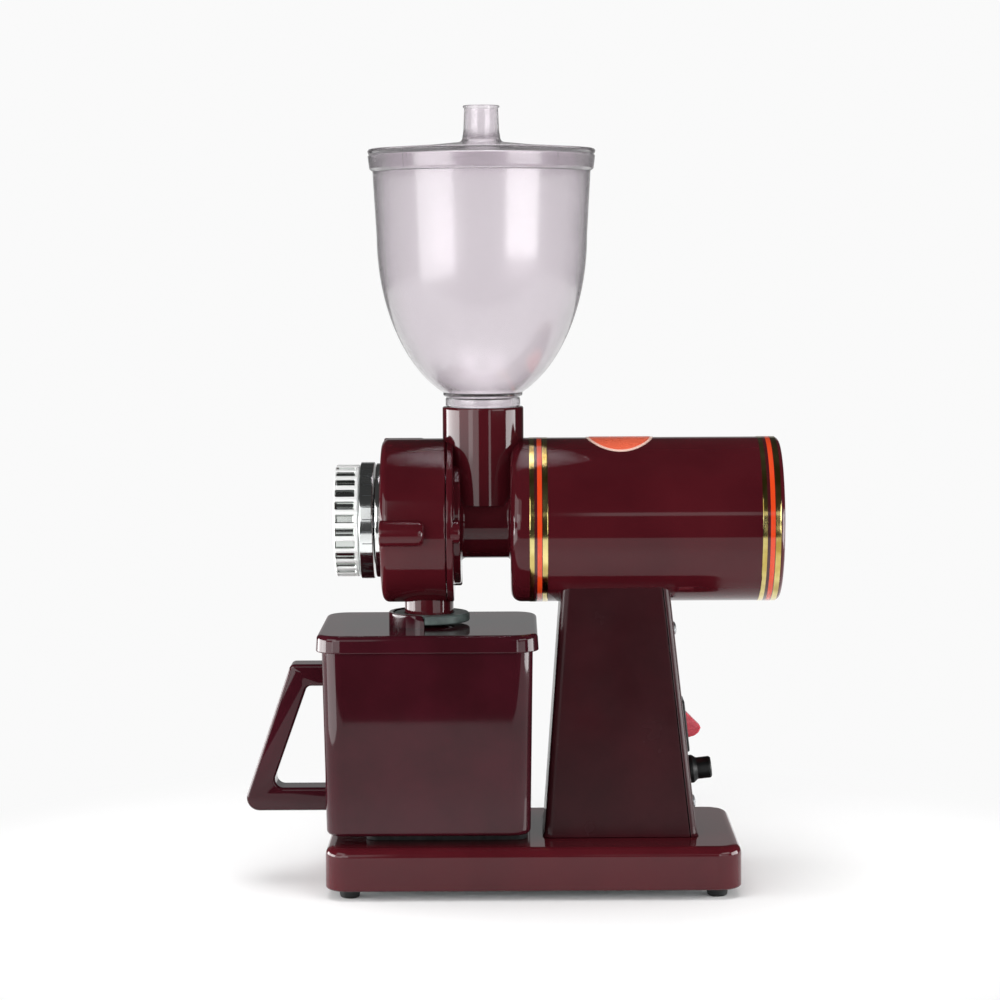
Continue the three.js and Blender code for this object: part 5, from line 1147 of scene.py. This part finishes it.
NECK_HEIGHT = 4.2
BOWL_FOOT_RADIUS = 18.4
BOWL_FOOT_HEIGHT = 6.6
BOWL_CURVE = 78.0
BOWL_STRAIGHT = 29.8


def bowl_side(inset, look):
    """The bowl's side from its foot up: an ellipse quarter, z = c - h sin t and r = R cos t, and a
    nearly straight wall above it."""
    radius = look.bowl_radius / MM
    foot_angle = math.acos(BOWL_FOOT_RADIUS / radius)
    centre = INLET_TOP + BOWL_FOOT_HEIGHT + BOWL_CURVE * math.sin(foot_angle)
    t = np.linspace(foot_angle, 0, 48)
    curve = np.stack([centre - (BOWL_CURVE - inset) * np.sin(t), (radius - inset) * np.cos(t)], axis=-1)
    return np.concatenate([curve, [[centre + BOWL_STRAIGHT, look.mouth_radius / MM - inset]]])


class GRINDER_OT_hopper(bpy.types.Operator):
    """Makes the clear hopper and its lid with the chimney"""

    bl_idname = "grinder.hopper"
    bl_label = "Hopper and lid"

    def execute(self, context):
        look = context.scene.grinder_hopper
        wall = look.wall / MM
        base = INLET_TOP
        bowl = bowl_side(0, look)
        mouth = bowl[-1, 0]
        neck = base + NECK_HEIGHT
        rim_inner = (look.mouth_radius - look.wall / 2) / MM + 0.3
        outer_foot = soften([(base - 15, 13.7), (base - 15, 15.9), (base + 0.3, 15.9), (base + 0.3, 17.3),
            (neck - 0.5, 17.3), (neck + 0.1, 16.8), (neck + 0.9, BOWL_FOOT_RADIUS - 0.1), tuple(bowl[0])],
            [0.4, 0.6, 0.3, 0.6, 0.5, 0.5, 0.8, 0], 4)
        rim = soften([tuple(bowl[-1]), (mouth + 1.1, LID_RADIUS - 0.9), (RIM_TOP, LID_RADIUS - 0.1),
            (RIM_TOP, rim_inner), (mouth + 0.4, rim_inner)], [0, 0.8, 0.6, 0.5, 0.4], 5)
        inner = bowl_side(wall, look)[::-1]
        inner = inner[inner[:, 0] > base + 8.5]
        profile = np.concatenate([outer_foot[:-1], bowl[:-1], rim, inner, [[neck, 13.7]]])
        piece("hopper_bowl", [shell(turned(profile, "z", (AXIS_X, 0), 256), True)], clear_polycarbonate(),
            "hopper", ["hopper"], math.radians(50))
        piece("hopper_lid_skin", self.lid(rim_inner - 0.3), clear_polycarbonate(), "hopper_lid",
            ["hopper_lid"], math.radians(50))
        return {"FINISHED"}

    @staticmethod
    def lid(skirt):
        """The lid and its chimney turned about the inlet's axis, and four snap ribs inside the skirt,
        each a small block turned by 45, 135, 225 or 315 degrees."""
        low = RIM_TOP + 0.3
        skirt_low = low - 7
        dome = low + 5.8
        inner = skirt - 1.8
        corners = [(skirt_low, inner), (skirt_low, skirt), (low, skirt), (low, LID_RADIUS - 0.6),
            (low + 1.4, LID_RADIUS), (low + 2.4, LID_RADIUS - 0.5), (low + 4.1, 26), (dome, 9.0),
            (dome + 5.5, 8.2), (CHIMNEY_TOP - 1.2, 7.8), (CHIMNEY_TOP - 0.9, 8.45), (CHIMNEY_TOP, 8.45),
            (CHIMNEY_TOP, 6.8), (dome - 1.8, 6.8), (low + 2.3, 26), (low + 0.8, inner)]
        radii = [0.4, 0.4, 0.3, 0.4, 0.6, 0.8, 30, 2.2, 3, 0.3, 0.3, 0.4, 0.4, 0.8, 30, 1.5]
        profile = soften(corners, radii, 5, True)
        shells = [shell(turned(profile, "z", (AXIS_X, 0), 256), True)]
        for quarter in range(4):
            turn = math.radians(45 + 90 * quarter)
            rib = boxed([(inner - 1.6, inner + 0.1, 1.1, 0.3, z) for z in (skirt_low + 0.4, low)])
            x, y = rib[..., 0].copy(), rib[..., 1].copy()
            rib[..., 0] = AXIS_X + x * math.cos(turn) - y * math.sin(turn)
            rib[..., 1] = x * math.sin(turn) + y * math.cos(turn)
            shells.append(shell(rib))
        return shells


# Powder box


def box_levels(insets, corner):
    """Outlines of the box between its foot and its rim, each moved in by its inset; the sides lean
    in straight from rim to foot."""
    low, high = BOX_LOW, BOX_HIGH
    length_top, depth_top = high[0] - low[0], high[1] - low[1]
    narrowing = np.array([3.0, 2.4])
    levels = []
    for inset, z in insets:
        share = np.clip((z - low[2]) / (high[2] - low[2]), 0, 1)
        half = (length_top - narrowing[0] * (1 - share)) / 2 - inset
        depth = depth_top - narrowing[1] * (1 - share) - 2 * inset
        levels.append((CHUTE_X - half, CHUTE_X + half, depth, max(corner - inset, 0.3), z))
    return levels


class GRINDER_OT_powder_box(bpy.types.Operator):
    """Makes the powder box, its lid with the half-round upstand, and its handle"""

    bl_idname = "grinder.powder_box"
    bl_label = "Powder box"

    def execute(self, context):
        look = context.scene.grinder_box
        corner, wall = look.corner / MM, look.wall / MM
        low, high = BOX_LOW[2], BOX_HIGH[2]
        insets = soften([(41, low), (0, low), (0, high), (wall, high), (wall, low + 3), (41, low + 3)],
            [0, 2.2, 0.6, 0.6, 3, 0], 8)
        piece("powder_box_skin", [shell(boxed(box_levels(insets, corner)))], maroon_abs(), "powder_box",
            ["powder_box"])
        self.lid(corner)
        self.handle(look)
        return {"FINISHED"}

    @staticmethod
    def lid(corner):
        """The lid: stacked outlines from the outlet's round hole out over the top, down the skirt
        and back inside, so that the flat top runs from a circle to a round-cornered rectangle. The
        upstand is an arc whose top drops by a quarter circle at each end."""
        low, high = LID_LOW, LID_HIGH
        top, foot = BOX_LID_TOP, low[2]
        half, depth = (high[0] - low[0]) / 2, high[1] - low[1]
        edge = soften([(12, top), (0.5, top), (0, foot), (2.1, foot), (2.1, top - 2.5), (12, top - 2.5)],
            [0, 2.3, 0.5, 0.4, 0.8, 0], 8)
        rows = [plan(CHUTE_X - half + i, CHUTE_X + half - i, depth - 2 * i, max(corner + 2.6 - i, 1.0))
            for i, _ in edge]
        angle = np.arctan2(rows[0][:, 1], rows[0][:, 0] - CHUTE_X)
        circle = np.stack([CHUTE_X + 10 * np.cos(angle), 10 * np.sin(angle)], axis=-1)
        rows = [circle] + rows + [circle]
        heights = [top] + [z for _, z in edge] + [top - 2.5]
        shells = [shell(stacked(rows, heights), True)]
        outer, inner, rise, round_off = UPSTAND_RADIUS, 17.0, 5.9, 2.9
        first = math.asin(UPSTAND_SETBACK / outer)
        end = np.linspace(0, 0.16, 9)
        whole = math.pi - 2 * first
        arc = first + np.concatenate([end, np.linspace(0.2, whole - 0.2, 60), whole - end[::-1]])
        from_end = np.minimum(arc - first, math.pi - first - arc) * outer
        short = np.clip(round_off - from_end, 0, None)
        drop = round_off - np.sqrt(np.clip(round_off ** 2 - short ** 2, 0, None))
        z_top = top + rise - drop
        rim = 0.35
        ring = [(outer, 0, -1), (outer, 1, -rim), (outer - rim, 1, 0), (inner + rim, 1, 0), (inner, 1, -rim),
            (inner, 0, -1)]
        columns = []
        for radius, at_top, offset in ring:
            z = z_top + offset if at_top else np.full(len(arc), top + offset)
            columns.append(np.stack([CHUTE_X - radius * np.sin(arc), radius * np.cos(arc), z], axis=-1))
        shells.append(shell(np.stack(columns, axis=1)))
        piece("powder_box_lid_skin", shells, maroon_abs(), "powder_box", ["powder_box_lid"])

    @staticmethod
    def handle(look):
        """The handle: an outline in x and z with round corners, given a thickness with rounded rims."""
        wall_x = CHUTE_X - (BOX_HIGH[0] - BOX_LOW[0]) / 2
        tip = span("box_handle")[0][0]
        outline = soften([(wall_x - 0.1, 102.8), (wall_x - 16.4, 102.8), (tip - 2.2, 33.8),
            (wall_x + 0.9, 33.8), (wall_x + 0.7, 44.6), (wall_x - 26, 44.6), (wall_x - 8.8, 92.6),
            (wall_x - 0.1, 92.6)], [0, 2.6, 6, 0, 0, 4, 2.6, 0], 10, True)
        piece("angular_handle", [shell(slab(outline, 7.5, look.handle_edge / MM))], maroon_abs(),
            "powder_box", ["box_handle"])


# Inner pieces


INNER = {
    zinc_steel: [
        "base_cover", "column_bolt_1", "column_bolt_2", "column_bolt_3", "column_bolt_4", "saddle_screw_1",
        "saddle_screw_2", "burr_spring", "drive_pin", "rotor_shaft", "front_bearing", "rear_bearing",
        "adjusting_screw", "thrust_ball", "handle_screw_1", "handle_screw_2"],
    ground_steel: ["fixed_burr", "rotating_burr"],
    laminations: ["stator_core", "rotor_core"],
    copper_wire: ["stator_winding"],
    cast_aluminium: ["burr_carrier", "feed_screw"],
    capacitor_can: ["run_capacitor"],
    black_rubber: ["motor_lead"],
    black_abs: ["gland_nut", "cooling_fan"],
    wool_felt: ["shaft_seal"],
}


class GRINDER_OT_inner(bpy.types.Operator):
    """Gives the inner CAD pieces their materials"""

    bl_idname = "grinder.inner"
    bl_label = "Inner pieces"

    def execute(self, context):
        for make, nodes in INNER.items():
            for node in nodes:
                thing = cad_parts[node]
                thing.data.materials.clear()
                thing.data.materials.append(make())
        return {"FINISHED"}


# Stage


# Level of the white that camera and glass see, and of the room in diffuse light and in reflections
WHITE_LEVEL = 0.955
ROOM_DIFFUSE = 0.12
ROOM_GLOSSY = 0.04
# The table is matt paper up to the first distance from the origin and lit white from the second
TABLE_MATT_REACH = 0.17
TABLE_WHITE_REACH = 0.32
TABLE_BOUNCE = 0.5
TOP_WATTS = 17
# Name, radiance, first and last angle in degrees, distance and lower and upper end in metres
SOFTBOXES = (
    ("softbox_left", 11.0, -126, -70, 0.75, 0.0, 0.21),
    ("softbox_left_front", 2.8, -41, -12, 0.95, 0.03, 0.36),
    ("softbox_far_left", 1.3, -37, -3.9, 2.7, 0.30, 1.90),
    ("softbox_hopper_left", 2.7, -69, -28, 0.42, 0.17, 0.42),
    ("softbox_hopper_left_low", 3.5, -90, -40, 0.42, 0.0, 0.12),
    ("softbox_right_front", 3.0, 16, 22, 0.95, 0.03, 0.40),
    ("softbox_hopper_right", 3.5, 26, 62, 0.72, 0.19, 0.44),
    ("softbox_hopper_right_low", 2.0, 17, 54, 0.72, 0.0, 0.11),
    ("softbox_right", 10.0, 68, 104, 0.60, 0.0, 0.21),
    ("softbox_far_right", 1.5, 2.3, 8.0, 2.7, 0.62, 0.84),
)


class GRINDER_OT_stage(bpy.types.Operator):
    """Makes the floor, the softboxes, the world and the camera"""

    bl_idname = "grinder.stage"
    bl_label = "Stage"

    def execute(self, context):
        scene = context.scene
        look = scene.grinder_stage
        scene.view_settings.view_transform = "Standard"
        self.camera(scene)
        self.floor(look)
        self.lamps(look)
        self.world(scene)
        return {"FINISHED"}

    @staticmethod
    def camera(scene):
        """The photograph's view, fitted to the outline: a 100 mm lens 1.29 m away, 4.9 degrees down."""
        data = bpy.data.cameras.new("camera")
        data.lens, data.sensor_width, data.shift_x, data.shift_y = 100, 36, -0.014, -0.001
        data.clip_start, data.clip_end = 0.05, 50
        camera = bpy.data.objects.new("camera", data)
        camera.location = ((AXIS_X + 14.8) * MM, -1.2909, 0.2898)
        camera.rotation_euler = (math.radians(90 - 4.9), math.radians(0.3), 0)
        scene.collection.objects.link(camera)
        scene.camera = camera

    @staticmethod
    def sheet(name, corners, material):
        """A flat stage piece from its corners in metres."""
        mesh = bpy.data.meshes.new(name)
        mesh.from_pydata(corners, [], [list(range(len(corners)))])
        mesh.materials.append(material)
        thing = bpy.data.objects.new(name, mesh)
        bpy.context.scene.collection.objects.link(thing)

    @classmethod
    def floor(cls, look):
        """A pale table. Round the grinder it is matt paper that takes the shadow; further out
        it turns into an evenly lit white. A white backdrop stands behind it."""
        matt = {"Base Color": linear(look.floor_colour), "Roughness": 0.9, "Specular IOR Level": 0.1}
        material, tree, shader, place = finish("matt_paper_table", matt)
        away = add(tree, "VectorMath", {0: place}, operation="LENGTH").outputs["Value"]
        reaches = (TABLE_MATT_REACH, TABLE_WHITE_REACH)
        share = between(tree, away, 0, 1, *reaches, interpolation_type="SMOOTHSTEP")
        path = add(tree, "LightPath").outputs
        level = between(tree, path["Is Diffuse Ray"], WHITE_LEVEL, TABLE_BOUNCE)
        white = add(tree, "Emission", {"Color": (1, 1, 1, 1), "Strength": level})
        mix = add(tree, "MixShader", {0: share, 1: shader.outputs[0], 2: white.outputs[0]})
        to_output(tree, mix.outputs[0], "Surface")
        front, back, half = -look.table_front, 1.6, 1.3
        table = [(-half, front, 0), (half, front, 0), (half, back, 0), (-half, back, 0)]
        cls.sheet("table", table, material)
        paper, tree, _, _ = finish("white_backdrop_paper", {"Base Color": (1, 1, 1, 1), "Roughness": 0.9})
        path = add(tree, "LightPath").outputs
        mirrored = maths(tree, "GREATER_THAN", path["Is Glossy Ray"], path["Is Transmission Ray"])
        level = between(tree, mirrored, WHITE_LEVEL, look.backdrop_gloss)
        glow = add(tree, "Emission", {"Color": (1, 1, 1, 1), "Strength": level})
        to_output(tree, glow.outputs[0], "Surface")
        cls.sheet("backdrop", [(-0.6, back, 0), (0.6, back, 0), (0.6, back, 0.7), (-0.6, back, 0.7)], paper)

    @staticmethod
    def lamps(look):
        """Softboxes, seen from the inlet's axis: each fills the angles from one to another (0 is towards
        the camera, positive to the right) at a distance, between two heights. With radiance L and area A
        its power is pi L A. The top one stays out of reflections, as a bounced ceiling light does. The
        only lamps that reach the hopper are the top one and the two named after it that aren't low."""
        flagged = bpy.data.collections.new("flagged_off_body_lamps")
        for name in ("hopper_bowl", "hopper_lid_skin"):
            if name not in bpy.data.objects:
                raise RuntimeError(f"The stage needs {name}: make the hopper first")
            flagged.objects.link(bpy.data.objects[name])
        for entry in flagged.collection_objects:
            entry.light_linking.link_state = "EXCLUDE"
        for name, radiance, start, end, distance, low, high in SOFTBOXES:
            turn, half = math.radians((start + end) / 2), math.radians((end - start) / 2)
            place = (AXIS_X * MM + distance * math.sin(turn), -distance * math.cos(turn), (low + high) / 2)
            size = (2 * distance * math.tan(half), high - low)
            power = math.pi * radiance * size[0] * size[1] * look.brightness
            lamp = GRINDER_OT_stage.lamp(name, power, size, place, (math.pi / 2, 0, turn))
            if not name.startswith("softbox_hopper") or name.endswith("low"):
                lamp.light_linking.receiver_collection = flagged
        top = GRINDER_OT_stage.lamp("softbox_top", TOP_WATTS * look.brightness, (1.2, 1.2), (0, 0, 1.5),
            (0, 0, 0))
        top.visible_glossy = False

    @staticmethod
    def lamp(name, power, size, place, turn):
        """An area lamp from its power in watts and its size and place in metres."""
        data = bpy.data.lights.new(name, "AREA")
        data.shape, data.size, data.size_y, data.energy = "RECTANGLE", *size, power
        lamp = bpy.data.objects.new(name, data)
        lamp.location, lamp.rotation_euler = place, turn
        bpy.context.scene.collection.objects.link(lamp)
        return lamp

    @staticmethod
    def world(scene):
        """White where the camera or glass looks straight out, a dark room in reflections and a plain
        grey light elsewhere."""
        world = bpy.data.worlds.new("studio")
        world.use_nodes = True
        tree = world.node_tree
        tree.nodes.clear()
        path = add(tree, "LightPath").outputs
        seen = maths(tree, "MAXIMUM", path["Is Camera Ray"], path["Is Transmission Ray"])
        room = maths(tree, "MULTIPLY", path["Is Glossy Ray"], ROOM_GLOSSY - ROOM_DIFFUSE)
        level = maths(tree, "ADD", room, ROOM_DIFFUSE)
        dim = add(tree, "Background", {"Color": (1, 1, 1, 1), "Strength": level})
        bright = add(tree, "Background", {"Color": (1, 1, 1, 1), "Strength": WHITE_LEVEL})
        mix = add(tree, "MixShader", {0: seen, 1: dim.outputs[0], 2: bright.outputs[0]})
        add(tree, "OutputWorld", {"Surface": mix.outputs[0]})
        scene.world = world


# Add-on


OPERATORS = (GRINDER_OT_base, GRINDER_OT_column, GRINDER_OT_switch, GRINDER_OT_gland, GRINDER_OT_body,
    GRINDER_OT_cover, GRINDER_OT_collar, GRINDER_OT_dial, GRINDER_OT_motor, GRINDER_OT_hopper,
    GRINDER_OT_powder_box, GRINDER_OT_inner, GRINDER_OT_stage)
GROUPS = {"grinder_finish": GrinderFinish, "grinder_head": GrinderHead, "grinder_stand": GrinderStand,
    "grinder_hopper": GrinderHopper, "grinder_box": GrinderBox, "grinder_stage": GrinderStage}


class GRINDER_PT_panel(bpy.types.Panel):
    """Lists the grinder's pieces and settings"""

    bl_idname = "GRINDER_PT_panel"
    bl_label = "Coffee grinder"
    bl_space_type = "VIEW_3D"
    bl_region_type = "UI"
    bl_category = "Grinder"

    def draw(self, context):
        for operator in OPERATORS:
            self.layout.operator(operator.bl_idname)
        for name, group in GROUPS.items():
            column = self.layout.column(heading=name.split("_")[1].title())
            for key in group.__annotations__:
                column.prop(getattr(context.scene, name), key)


def register():
    for kind in (*GROUPS.values(), *OPERATORS, GRINDER_PT_panel):
        bpy.utils.register_class(kind)
    for name, group in GROUPS.items():
        setattr(bpy.types.Scene, name, bpy.props.PointerProperty(type=group))


def unregister():
    for name in GROUPS:
        delattr(bpy.types.Scene, name)
    for kind in reversed((*GROUPS.values(), *OPERATORS, GRINDER_PT_panel)):
        bpy.utils.unregister_class(kind)


def main():
    """Registers the add-on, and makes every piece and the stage."""
    register()
    for operator in OPERATORS:
        family, name = operator.bl_idname.split(".")
        if getattr(getattr(bpy.ops, family), name)() != {"FINISHED"}:
            raise RuntimeError(f"{operator.bl_label} was not finished")
    bpy.context.view_layer.update()


if __name__ == "__main__":
    main()
